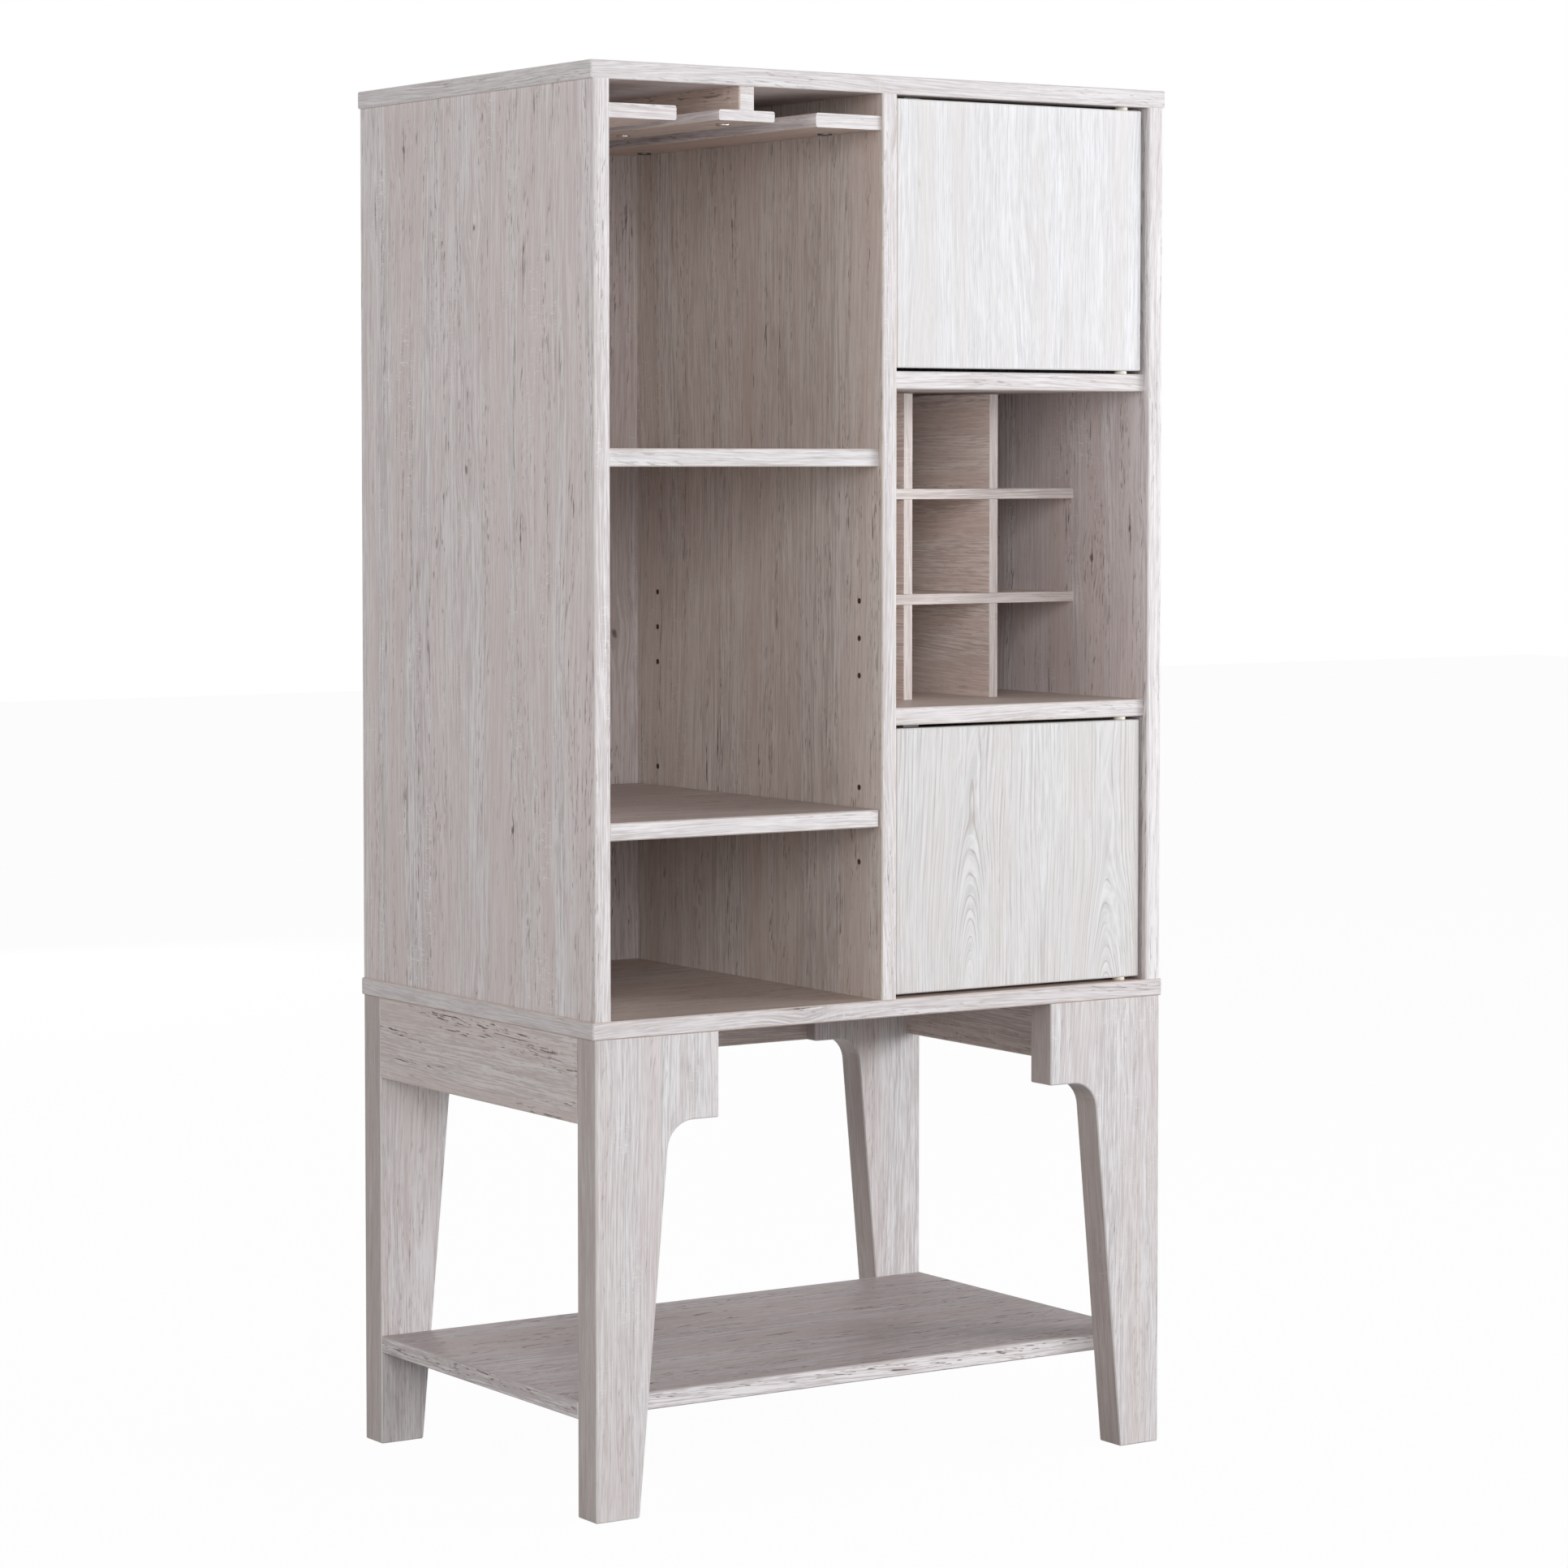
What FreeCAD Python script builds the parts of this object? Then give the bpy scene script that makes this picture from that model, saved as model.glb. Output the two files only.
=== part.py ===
import FreeCAD, Part
import math
import os

V = FreeCAD.Vector
X, Y, Z = V(1, 0, 0), V(0, 1, 0), V(0, 0, 1)

# A tall wine cabinet of faced boards on four tapered legs, in millimetres.
# X runs along the front, Y from the front to the rear, Z up from the floor.

# Whole cabinet
cabinet_width = 590.0
cabinet_depth = 400.0
leg_height = 400.0
body_height = 770.0
board = 15.0
back_sheet = 2.5
back_inset = 0.5
side_overhang = 2.5
setback = 6.0
arris = 1.0

# Leg frame
bracket_reach = 120.0
bracket_depth = 72.0
leg_thickness = 30.0
knee_width = 72.0
foot_width = 42.0
knee_radius = 25.0
low_shelf_level = 82.0

# Left bay
fixed_shelf_level = 870.0
loose_shelf_level = 563.0
loose_shelf_play = 1.2
loose_setback = 3.0
loose_rear_gap = 6.0
pin_pitch = 32.0
pin_groups_apart = 5
pin_rows = (-1, 0, 1)
pin_front_inset = 35.0
pin_rear_inset = 35.0
pin_radius = 2.5
pin_hole_depth = 10.0
pin_tongue_length = 14.0
pin_tongue_width = 8.0
pin_tongue_thickness = 2.5

# Stemware rack under the top
rack_setback = 3.0
batten_width = 15.0
batten_height = 20.0
middle_slat_width = 55.0
middle_slat_thickness = 9.0
side_slat_width = 66.0
side_slat_thickness = 12.0
side_slat_drop = 19.0
slat_arris = 2.0
rack_bolt_radius = 2.0
rack_bolt_head_radius = 6.2
rack_bolt_head_height = 1.5
rack_front_inset = 40.0
rack_rear_inset = 37.0
slat_cam_radius = 6.25
slat_cam_depth = 9.0
slat_cam_inset = 15.0
slat_cam_front_inset = 66.0
slat_bolt_radius = 2.5

# Right bay
door_space = 234.0
door_side_gap = 4.0
door_end_gap = 3.0
pivot_inset = 17.0
pivot_pin_radius = 2.5
pivot_pin_grip = 20.0
pivot_pin_reach = 6.0
pivot_play = 0.15
bush_radius = 4.0
bush_depth = 8.0
bush_flange_radius = 5.5
bush_end_play = 0.2

# Bottle lattice
lattice_board = 9.0
lattice_setback = 110.0
lattice_headroom = 2.0
lattice_play = 0.2
cells = 3

# Push latches behind the doors
latch_inset = 32.0
latch_length = 70.0
latch_barrel_radius = 8.0
latch_drop = 11.0
latch_flange_width = 38.0
latch_flange_length = 26.0
latch_flange_thickness = 2.5
latch_bore_depth = 34.0
latch_flange_corner = 4.0
plunger_radius = 3.5
plunger_play = 0.1
plunger_engaged = 24.0
plunger_travel = 3.0
plunger_neck = 4.0
magnet_radius = 5.0
magnet_thickness = 4.0
magnet_gap = 0.3
strike_width = 26.0
strike_height = 12.0
strike_thickness = 1.0

# Hidden joints
cam_radius = 7.5
cam_depth = 12.5
cam_inset = 24.0
cam_row_inset = 50.0
cam_bolt_radius = 3.0
bolt_grip = 11.0
leg_cam_inset = 75.0
dowel_radius = 4.0
rod_sides = 6
cam_sides = 8
pin_sides = 12
dowel_in_edge = 20.0
dowel_in_leg = 15.0
leg_dowel_inset = 28.0
low_shelf_dowel_inset = 21.0

# Levels and planes that the sizes above settle
front = -cabinet_depth / 2
rear = cabinet_depth / 2
back_face = rear - back_inset
frame_rear = back_face - back_sheet
side_out = cabinet_width / 2 - side_overhang
side_in = side_out - board
side_mid = side_out - board / 2
mid_half = board / 2
base_top = leg_height + board
top_under = base_top + body_height
bay_width = side_in - mid_half
low_divide = base_top + door_space
high_divide = top_under - door_space - board
bracket_level = leg_height - bracket_depth
frame_front = front + leg_thickness
frame_back = rear - leg_thickness
rack_middle = -(side_in + mid_half) / 2
middle_slat_top = top_under - batten_height
side_slat_top = top_under - side_slat_drop
rack_front_row = front + rack_front_inset
rack_rear_row = frame_rear - rack_rear_inset
door_front = front + setback
door_rear = door_front + board
pivot_x = side_in - door_side_gap - pivot_inset
pivot_y = door_front + board / 2
touching = 0.001


def block(x, y, z):
    """Closed block over three (low, high) ranges."""
    return Part.makeBox(x[1] - x[0], y[1] - y[0], z[1] - z[0], V(x[0], y[0], z[0]))


def rod(radius, start, end):
    """Round rod between two points."""
    run = end - start
    return Part.makeCylinder(radius, run.Length, start, run)


def prism(radius, start, end, sides):
    """Rod with flat sides between two points, for small hardware that repeats."""
    run = end - start
    turns = [2 * math.pi * n / sides for n in range(sides)]
    ring = [V(radius * math.cos(t), radius * math.sin(t), 0) for t in turns]
    solid = Part.Face(Part.makePolygon(ring + ring[:1])).extrude(Z * run.Length)
    solid.Placement = FreeCAD.Placement(start, FreeCAD.Rotation(Z, run))
    return solid


def eased(solid, edges, size=arris):
    """The solid with the given edges broken, as banded board edges are."""
    return solid.makeChamfer(size, edges)


def front_edges(solid, corners=False):
    """The long edges round a board's front face, and its short ones if corners is set."""
    face = solid.BoundBox.YMin + touching
    return [e for e in solid.Edges if e.BoundBox.YMax < face and (corners or e.Length > board)]


def drilled(solid, fittings):
    """The solid with a seat cut for every fitting that reaches into it."""
    near = [f for f in fittings if f.BoundBox.intersect(solid.BoundBox)]
    return solid.cut(near) if near else solid


def mirrored(solid):
    """The same solid on the other side of the cabinet."""
    return solid.mirror(V(0, 0, 0), X)


# Hidden joints: a cam in one board draws a bolt that stands in the next

def cam_sites():
    """Every cam joint as (point on the seam, way into the cam's board, way out of its cam face)."""
    rows = (front + cam_row_inset, frame_rear - cam_row_inset)
    shelves = [(-side_in, -mid_half, fixed_shelf_level),
               (mid_half, side_in, low_divide),
               (mid_half, side_in, high_divide)]
    sites = []
    for y in rows:
        for x, face in ((-side_mid, X), (0, X), (side_mid, -X)):
            sites.append((V(x, y, top_under), -Z, face))
            sites.append((V(x, y, base_top), Z, face))
        for left, right, level in shelves:
            sites.append((V(left, y, level + board / 2), X, -Z))
            sites.append((V(right, y, level + board / 2), -X, -Z))
    for x in (leg_cam_inset - side_out, side_out - leg_cam_inset):
        for back in (frame_front, rear):
            sites.append((V(x, back - board / 2, leg_height), -Z, Y))
    return sites


def cam_bolt(site):
    point, into, face = site
    return prism(cam_bolt_radius, point - into * bolt_grip, point + into * cam_inset, rod_sides)


def cam_lock(site):
    point, into, face = site
    outer = point + into * cam_inset + face * (board / 2)
    return prism(cam_radius, outer, outer - face * cam_depth, cam_sides)


def slat_cam_sites():
    """The rack's side slats hang from small cams: (point on the wall, way into the slat)."""
    level = side_slat_top - side_slat_thickness / 2
    walls = ((-side_in, X), (-mid_half, -X))
    rows = (front + slat_cam_front_inset, rack_rear_row)
    return [(V(x, y, level), into) for x, into in walls for y in rows]


def slat_cam_bolt(site):
    point, into = site
    return prism(slat_bolt_radius, point - into * bolt_grip, point + into * slat_cam_inset, rod_sides)


def slat_cam(site):
    point, into = site
    face = point + into * slat_cam_inset - Z * (side_slat_thickness / 2)
    return prism(slat_cam_radius, face, face + Z * slat_cam_depth, cam_sides)


def dowels():
    """Wooden dowels of the leg frame, each across a seam from a board's edge into a leg or panel."""
    level = bracket_level + bracket_depth / 2
    found = []
    for y, way in ((frame_front, Y), (frame_back, -Y)):
        for x in (-side_mid, side_mid):
            found.append((V(x, y, level), way, dowel_in_edge, dowel_in_leg))
        for x in (low_shelf_dowel_inset - side_out, side_out - low_shelf_dowel_inset):
            found.append((V(x, y, low_shelf_level + board / 2), way, dowel_in_edge, dowel_in_leg))
    for x, way in ((bracket_reach - side_out, X), (side_out - bracket_reach, -X)):
        found.append((V(x, rear - board / 2, level), way, dowel_in_edge, dowel_in_leg))
    for x in (leg_dowel_inset - side_out, side_out - leg_dowel_inset):
        for y in (front + leg_thickness / 2, rear - leg_thickness / 2):
            found.append((V(x, y, leg_height), -Z, dowel_in_edge, bolt_grip))
    return [prism(dowel_radius, p - way * behind, p + way * ahead, rod_sides)
            for p, way, ahead, behind in found]


# Loose shelf pins and their rows of holes

def pin_places():
    """Each hole of the shelf pins on the inner faces of the left bay: (point, way out of the wall)."""
    places = []
    for x, out in ((-side_in, X), (-mid_half, -X)):
        for y in (front + pin_front_inset, frame_rear - pin_rear_inset):
            for group in (0, pin_groups_apart):
                for row in pin_rows:
                    places.append((V(x, y, loose_shelf_level + (group + row) * pin_pitch), out))
    return places


def pin_holes():
    return [rod(pin_radius, p, p - out * pin_hole_depth) for p, out in pin_places()]


def shelf_pins():
    """Spoon pins: a round shank in the wall and a flat tongue level with its middle."""
    pins = []
    for p, out in pin_places():
        if abs(p.z - loose_shelf_level) > touching:
            continue
        shank = prism(pin_radius, p - out * pin_hole_depth, p, pin_sides)
        tip = p + out * pin_tongue_length
        tongue = block((min(p.x, tip.x), max(p.x, tip.x)),
                       (p.y - pin_tongue_width / 2, p.y + pin_tongue_width / 2),
                       (p.z - pin_tongue_thickness, p.z))
        ends = [e for e in tongue.Edges if abs(e.CenterOfMass.x - tip.x) < touching
                and abs(e.CenterOfMass.y - p.y) > touching]
        pins.append(shank.fuse(eased(tongue, ends, pin_tongue_thickness)).removeSplitter())
    return pins


# Boards of the body

def end_panel(low):
    """Top or base panel: the only boards that show all round, so every edge is banded."""
    half = cabinet_width / 2
    panel = block((-half, half), (front, rear), (low, low + board))
    return eased(panel, panel.Edges)


def upright(x):
    """Side or divider, closed between the top and base panels."""
    panel = block(x, (front, frame_rear), (base_top, top_under))
    return eased(panel, front_edges(panel))


def back_panel():
    """Thin sheet nailed on behind the sides, divider and shelves, with room for its nail heads."""
    return block((-side_out, side_out), (frame_rear, back_face), (base_top, top_under))


def fixed_shelf(x, low):
    shelf = block(x, (front + setback, frame_rear), (low, low + board))
    return eased(shelf, front_edges(shelf))


def adjustable_shelf():
    shelf = block((-side_in + loose_shelf_play, -mid_half - loose_shelf_play),
                  (front + loose_setback, frame_rear - loose_rear_gap),
                  (loose_shelf_level, loose_shelf_level + board))
    return eased(shelf, front_edges(shelf, corners=True))


# Stemware rack

def slat(x, low, thickness, free_sides):
    """Bar that the feet of glasses hang on, well rounded along its free sides."""
    bar = block(x, (front + rack_setback, frame_rear), (low, low + thickness))
    long_edges = [e for e in bar.Edges if e.Length > bay_width]
    free = [e for e in long_edges if min(abs(e.CenterOfMass.x - side) for side in free_sides) < touching]
    return bar.makeFillet(slat_arris, free)


def side_slat(wall, way):
    free_side = wall + way * side_slat_width
    low = side_slat_top - side_slat_thickness
    return slat(sorted((wall, free_side)), low, side_slat_thickness, [free_side])


def middle_slat():
    half = middle_slat_width / 2
    x = (rack_middle - half, rack_middle + half)
    return slat(x, middle_slat_top - middle_slat_thickness, middle_slat_thickness, x)


def rack_batten():
    x = (rack_middle - batten_width / 2, rack_middle + batten_width / 2)
    bar = block(x, (front + rack_setback, frame_rear), (middle_slat_top, top_under))
    upright_edges = [e for e in front_edges(bar) if abs(e.CenterOfMass.x - rack_middle) > touching]
    return eased(bar, upright_edges)


def rack_bolts():
    """Flat-headed bolts up through the middle slat and batten into the top panel."""
    bolts = []
    low = middle_slat_top - middle_slat_thickness
    for y in (rack_front_row, (rack_front_row + rack_rear_row) / 2, rack_rear_row):
        seat = V(rack_middle, y, low)
        shank = prism(rack_bolt_radius, seat, V(seat.x, seat.y, top_under + bolt_grip), rod_sides)
        face = seat - Z * rack_bolt_head_height
        head = prism(rack_bolt_head_radius, seat, face, pin_sides)
        bolts.append(shank.fuse(head).removeSplitter())
    return bolts


# Bottle lattice: boards of two ways, each slotted halfway so that they cross in one plane

def lattice_step(length):
    return (length - (cells - 1) * lattice_board) / cells + lattice_board


def lattice_spans(start, length):
    """Low and high side of each lattice board that stands across a length."""
    step = lattice_step(length)
    return [(start + n * step - lattice_board, start + n * step) for n in range(1, cells)]


lattice_front = front + lattice_setback
lattice_half = (lattice_front + frame_rear) / 2
lattice_floor = low_divide + board
lattice_height = high_divide - lattice_floor - lattice_headroom
lattice_x = lattice_spans(mid_half, bay_width)
lattice_z = lattice_spans(lattice_floor, lattice_height)


def grown(span):
    return (span[0] - lattice_play, span[1] + lattice_play)


def lattice_upright(x):
    """Standing board, slotted from the front for the rails."""
    panel = block(x, (lattice_front, frame_rear), (lattice_floor, lattice_floor + lattice_height))
    return panel.cut([block(x, (lattice_front, lattice_half), grown(z)) for z in lattice_z])


def lattice_rail(z):
    """Lying board, slotted from the rear for the uprights."""
    panel = block((mid_half, side_in), (lattice_front, frame_rear), z)
    return panel.cut([block(grown(x), (lattice_half, frame_rear), z) for x in lattice_x])


# Leg frame

def corner_arc(before, corner, after, radius):
    """Arc of a radius that rounds the corner between two straight lines."""
    a = (before - corner).normalize()
    b = (after - corner).normalize()
    half_angle = a.getAngle(b) / 2
    reach = radius / math.tan(half_angle)
    bulge = radius / math.sin(half_angle) - radius
    return Part.Arc(corner + a * reach, corner + (a + b).normalize() * bulge, corner + b * reach)


def leg(y_front):
    """Left leg: a bracket under the base panel that turns through a round knee into a taper."""
    outer = -side_out
    tip_top = V(outer + bracket_reach, y_front, leg_height)
    tip = V(outer + bracket_reach, y_front, bracket_level)
    knee = V(outer + knee_width, y_front, bracket_level)
    foot = V(outer + foot_width, y_front, 0)
    foot_outer = V(outer, y_front, 0)
    top_outer = V(outer, y_front, leg_height)
    arc = corner_arc(tip, knee, foot, knee_radius).toShape()
    start, end = [v.Point for v in arc.Vertexes]
    lines = [(top_outer, tip_top), (tip_top, tip), (tip, start),
             (end, foot), (foot, foot_outer), (foot_outer, top_outer)]
    edges = [Part.LineSegment(a, b).toShape() for a, b in lines] + [arc]
    outline = Part.Wire(Part.__sortEdges__(edges))
    solid = Part.Face(outline).extrude(Y * leg_thickness)
    return eased(solid, edges_below(solid, leg_height))


def edges_below(solid, level):
    """The edges of a solid that lie wholly or partly below a level."""
    return [e for e in solid.Edges if e.BoundBox.ZMin < level - touching]


def low_edges(rail):
    """The long edges along the bottom of a rail."""
    lowest = rail.BoundBox.ZMin + touching
    return [e for e in rail.Edges if e.BoundBox.ZMax < lowest and e.Length > board]


def side_apron():
    rail = block((-side_out, -side_in), (frame_front, frame_back), (bracket_level, leg_height))
    return eased(rail, low_edges(rail))


def rear_apron():
    reach = side_out - bracket_reach
    rail = block((-reach, reach), (rear - board, rear), (bracket_level, leg_height))
    return eased(rail, low_edges(rail))


def low_shelf():
    shelf = block((-side_out, side_out), (frame_front, frame_back),
                  (low_shelf_level, low_shelf_level + board))
    return eased(shelf, shelf.Edges)


# Doors, each on two pins near its right edge

def door_panel(space_low):
    x = (mid_half + door_side_gap, side_in - door_side_gap)
    z = (space_low + door_end_gap, space_low + door_space - door_end_gap)
    panel = block(x, (door_front, door_rear), z)
    return eased(panel, panel.Edges)


def pivot_seats(space_low):
    """Where a door's pivots stand: (point on the board below or above, way towards the door)."""
    return [(V(pivot_x, pivot_y, space_low), Z), (V(pivot_x, pivot_y, space_low + door_space), -Z)]


def pivot_pins(space_low):
    """Steel pins pressed into the door's lower and upper edges."""
    grip = door_end_gap + pivot_pin_grip
    return [rod(pivot_pin_radius, p - way * pivot_pin_reach, p + way * grip)
            for p, way in pivot_seats(space_low)]


def bush_shanks(space_low):
    return [prism(bush_radius, p - way * bush_depth, p, cam_sides) for p, way in pivot_seats(space_low)]


def pivot_bushes(space_low):
    """Flanged bushes that carry the pins and fill the gaps below and above a door."""
    bushes = []
    for (point, way), shank in zip(pivot_seats(space_low), bush_shanks(space_low)):
        flange_face = point + way * (door_end_gap - bush_end_play)
        flange = prism(bush_flange_radius, point, flange_face, pin_sides)
        bore = prism(pivot_pin_radius + pivot_play, point - way * bush_depth, flange_face, pin_sides)
        bushes.append(shank.fuse(flange).removeSplitter().cut(bore))
    return bushes


# Push latches: pressing a closed door drives the plunger in and frees the door

latch_x = mid_half + door_side_gap + latch_inset
magnet_face = door_rear + strike_thickness + magnet_gap
latch_front = magnet_face + magnet_thickness + plunger_neck
latch_middle = latch_front + latch_length / 2


def latch_axis(space_low, y):
    return V(latch_x, y, space_low + door_space - latch_drop)


def latch_housing(space_low):
    """Moulded barrel on a screwed flange, open in front for the plunger."""
    top = space_low + door_space
    start = latch_axis(space_low, latch_front)
    barrel = prism(latch_barrel_radius, start, start + Y * latch_length, pin_sides)
    web = block((latch_x - latch_barrel_radius, latch_x + latch_barrel_radius),
                (latch_front, latch_front + latch_length), (start.z, top))
    half = latch_flange_length / 2
    flange = block((latch_x - latch_flange_width / 2, latch_x + latch_flange_width / 2),
                   (latch_middle - half, latch_middle + half), (top - latch_flange_thickness, top))
    corners = [e for e in flange.Edges if e.BoundBox.ZLength > latch_flange_thickness / 2]
    body = barrel.fuse([web, eased(flange, corners, latch_flange_corner)]).removeSplitter()
    bore = prism(plunger_radius + plunger_play, start, start + Y * latch_bore_depth, pin_sides)
    return body.cut(bore)


def latch_plunger(space_low):
    """Sliding rod with a magnet at its tip."""
    tip = latch_axis(space_low, magnet_face)
    neck = tip + Y * magnet_thickness
    shaft = prism(plunger_radius, neck, neck + Y * (plunger_neck + plunger_engaged), pin_sides)
    magnet = prism(magnet_radius, tip, neck, pin_sides)
    return shaft.fuse(magnet).removeSplitter()


def strike_plate(space_low):
    """Thin steel plate on the door's back that the magnet pulls on."""
    seat = latch_axis(space_low, door_rear)
    plate = block((seat.x - strike_width / 2, seat.x + strike_width / 2),
                  (seat.y, seat.y + strike_thickness),
                  (seat.z - strike_height / 2, seat.z + strike_height / 2))
    return eased(plate, [e for e in plate.Edges if e.BoundBox.YLength > strike_thickness / 2])


# Putting it together

def save(name, solids):
    shape = solids[0] if len(solids) == 1 else Part.makeCompound(solids)
    shape.exportStep("parts/" + name + ".step")


def save_body(seats, space_lows):
    left_bay = (-side_in, -mid_half)
    right_bay = (mid_half, side_in)
    bush_seats = [s for low in space_lows for s in bush_shanks(low)]
    level_seats = seats + bush_seats + rack_bolts()
    wall_seats = seats + pin_holes() + [slat_cam_bolt(s) for s in slat_cam_sites()]
    save("top_panel", [drilled(end_panel(top_under), level_seats)])
    save("base_panel", [drilled(end_panel(leg_height), level_seats)])
    save("left_side_panel", [drilled(upright((-side_out, -side_in)), wall_seats)])
    save("centre_divider", [drilled(upright((-mid_half, mid_half)), wall_seats)])
    save("right_side_panel", [drilled(upright((side_in, side_out)), wall_seats)])
    save("back_panel", [back_panel()])
    save("left_fixed_shelf", [drilled(fixed_shelf(left_bay, fixed_shelf_level), level_seats)])
    save("right_lower_shelf", [drilled(fixed_shelf(right_bay, low_divide), level_seats)])
    save("right_upper_shelf", [drilled(fixed_shelf(right_bay, high_divide), level_seats)])
    save("adjustable_shelf", [adjustable_shelf()])
    save("shelf_pins", shelf_pins())
    save("pivot_bushes", [b for low in space_lows for b in pivot_bushes(low)])


def save_rack():
    bolts = [slat_cam_bolt(s) for s in slat_cam_sites()]
    cams = [slat_cam(s) for s in slat_cam_sites()]
    seats = cams + bolts + rack_bolts()
    save("rack_left_slat", [drilled(side_slat(-side_in, 1), seats)])
    save("rack_middle_slat", [drilled(middle_slat(), seats)])
    save("rack_right_slat", [drilled(side_slat(-mid_half, -1), seats)])
    save("rack_batten", [drilled(rack_batten(), seats)])
    save("rack_bolts", rack_bolts())
    save("rack_cams", [drilled(c, bolts) for c in cams])
    save("rack_cam_bolts", bolts)


def save_lattice():
    for name, x in zip(("left", "right"), lattice_x):
        save("lattice_upright_" + name, [lattice_upright(x)])
    for name, z in zip(("lower", "upper"), lattice_z):
        save("lattice_rail_" + name, [lattice_rail(z)])


def save_leg_frame(seats):
    for name, y in (("front", front), ("rear", frame_back)):
        save(name + "_left_leg", [drilled(leg(y), seats)])
        save(name + "_right_leg", [drilled(mirrored(leg(y)), seats)])
    save("left_apron", [drilled(side_apron(), seats)])
    save("right_apron", [drilled(mirrored(side_apron()), seats)])
    save("rear_apron", [drilled(rear_apron(), seats)])
    save("low_shelf", [drilled(low_shelf(), seats)])


def save_door(name, space_low):
    pins = pivot_pins(space_low)
    save(name + "_door_panel", [drilled(door_panel(space_low), pins)])
    save(name + "_door_pivot_pins", pins)
    save(name + "_strike_plate", [strike_plate(space_low)])
    save(name + "_latch_housing", [latch_housing(space_low)])
    save(name + "_latch_plunger", [latch_plunger(space_low)])


def main():
    os.makedirs("parts", exist_ok=True)
    bolts = [cam_bolt(s) for s in cam_sites()]
    cams = [cam_lock(s) for s in cam_sites()]
    pegs = dowels()
    seats = bolts + cams + pegs
    door_spaces = {"lower": base_top, "upper": high_divide + board}
    save_body(seats, list(door_spaces.values()))
    save_rack()
    save_lattice()
    save_leg_frame(seats)
    for name, space_low in door_spaces.items():
        save_door(name, space_low)
    save("cam_locks", [drilled(c, bolts) for c in cams])
    save("cam_bolts", bolts)
    save("wooden_dowels", pegs)


main()
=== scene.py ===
import functools
import math

import bmesh
import bpy
from mathutils import Matrix, Vector


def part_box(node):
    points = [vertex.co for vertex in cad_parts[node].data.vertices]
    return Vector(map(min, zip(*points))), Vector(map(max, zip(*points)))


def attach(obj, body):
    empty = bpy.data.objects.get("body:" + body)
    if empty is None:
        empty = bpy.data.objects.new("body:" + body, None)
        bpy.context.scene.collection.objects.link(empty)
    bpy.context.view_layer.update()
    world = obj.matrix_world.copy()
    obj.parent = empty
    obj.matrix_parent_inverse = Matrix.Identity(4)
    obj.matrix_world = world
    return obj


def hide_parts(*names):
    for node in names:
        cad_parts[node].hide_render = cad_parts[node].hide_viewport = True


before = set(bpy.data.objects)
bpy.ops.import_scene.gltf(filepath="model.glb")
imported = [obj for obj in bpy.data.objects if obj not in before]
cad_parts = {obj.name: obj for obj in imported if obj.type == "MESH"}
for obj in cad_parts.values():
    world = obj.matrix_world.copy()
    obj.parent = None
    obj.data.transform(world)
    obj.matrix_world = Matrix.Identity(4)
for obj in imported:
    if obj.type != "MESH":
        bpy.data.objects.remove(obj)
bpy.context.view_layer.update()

bl_info = {
    "name": "Wine cabinet",
    "version": (1, 0, 0),
    "blender": (4, 5, 0),
    "location": "3D View > Sidebar > Cabinet",
    "description": "Finishes, fittings and studio for a whitewashed oak wine cabinet",
    "category": "Object",
}

# Metres throughout. X runs along the front, Y from the front to the rear, Z up from the floor.

MM = 0.001
X, Y, Z = Vector((1, 0, 0)), Vector((0, 1, 0)), Vector((0, 0, 1))
BODY = "cabinet"
TOUCHING = 0.02 * MM    # Faces this near lie flush
SAME = 0.001 * MM       # Points this near are one point


def tint(red, green, blue):
    """Linear colour from the 0 to 255 values that a paint card gives."""
    def linear(value):
        share = value / 255
        return share / 12.92 if share <= 0.04045 else ((share + 0.055) / 1.055) ** 2.4
    return (linear(red), linear(green), linear(blue))


def color_property(name, description, card):
    return bpy.props.FloatVectorProperty(name=name, description=description, default=tint(*card),
                                         size=3, min=0.0, max=1.0, subtype="COLOR")


def length_property(name, description, default):
    return bpy.props.FloatProperty(name=name, description=description, default=default,
                                   min=0.0, unit="LENGTH", precision=5)


def power_property(name, description, default):
    return bpy.props.FloatProperty(name=name, description=description, default=default,
                                   min=0.0, unit="POWER")


def number_property(name, description, default, highest=1.0):
    return bpy.props.FloatProperty(name=name, description=description, default=default,
                                   min=0.0, max=highest, subtype="FACTOR")


# Sizes and colours that a user would change

class CABINET_PG_oak(bpy.types.PropertyGroup):
    """Printed whitewashed oak of the boards."""
    light: color_property("Light grain", "Palest wood between the streaks", (239, 236, 237))
    shade: color_property("Shaded grain", "Wood in the darker streaks", (202, 194, 194))
    brown: color_property("Brown grain", "Warm bands where the wash is thin", (217, 203, 200))
    pore: color_property("Pores", "Pores, checks and knots", (112, 98, 91))
    # The fleck colour also paints the highlight on the bevels
    fleck: color_property("Flecks", "Ray flecks and banded edges", (240, 239, 237))
    plank: length_property("Plank width", "Usual width of one printed plank", 0.095)
    gloss: number_property("Roughness", "Roughness of the faced board", 0.48)
    relief: length_property("Pore depth", "Depth of the embossed pores", 0.00022)


class CABINET_PG_door(bpy.types.PropertyGroup):
    """Paler print of the two doors."""
    light: color_property("Light grain", "Palest wood of the doors", (239, 239, 242))
    shade: color_property("Shaded grain", "Wood in the doors' darker streaks", (208, 208, 210))
    brown: color_property("Brown grain", "Warm bands of the doors", (223, 218, 216))
    pore: color_property("Pores", "Pores and ring lines of the doors", (148, 124, 110))


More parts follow.
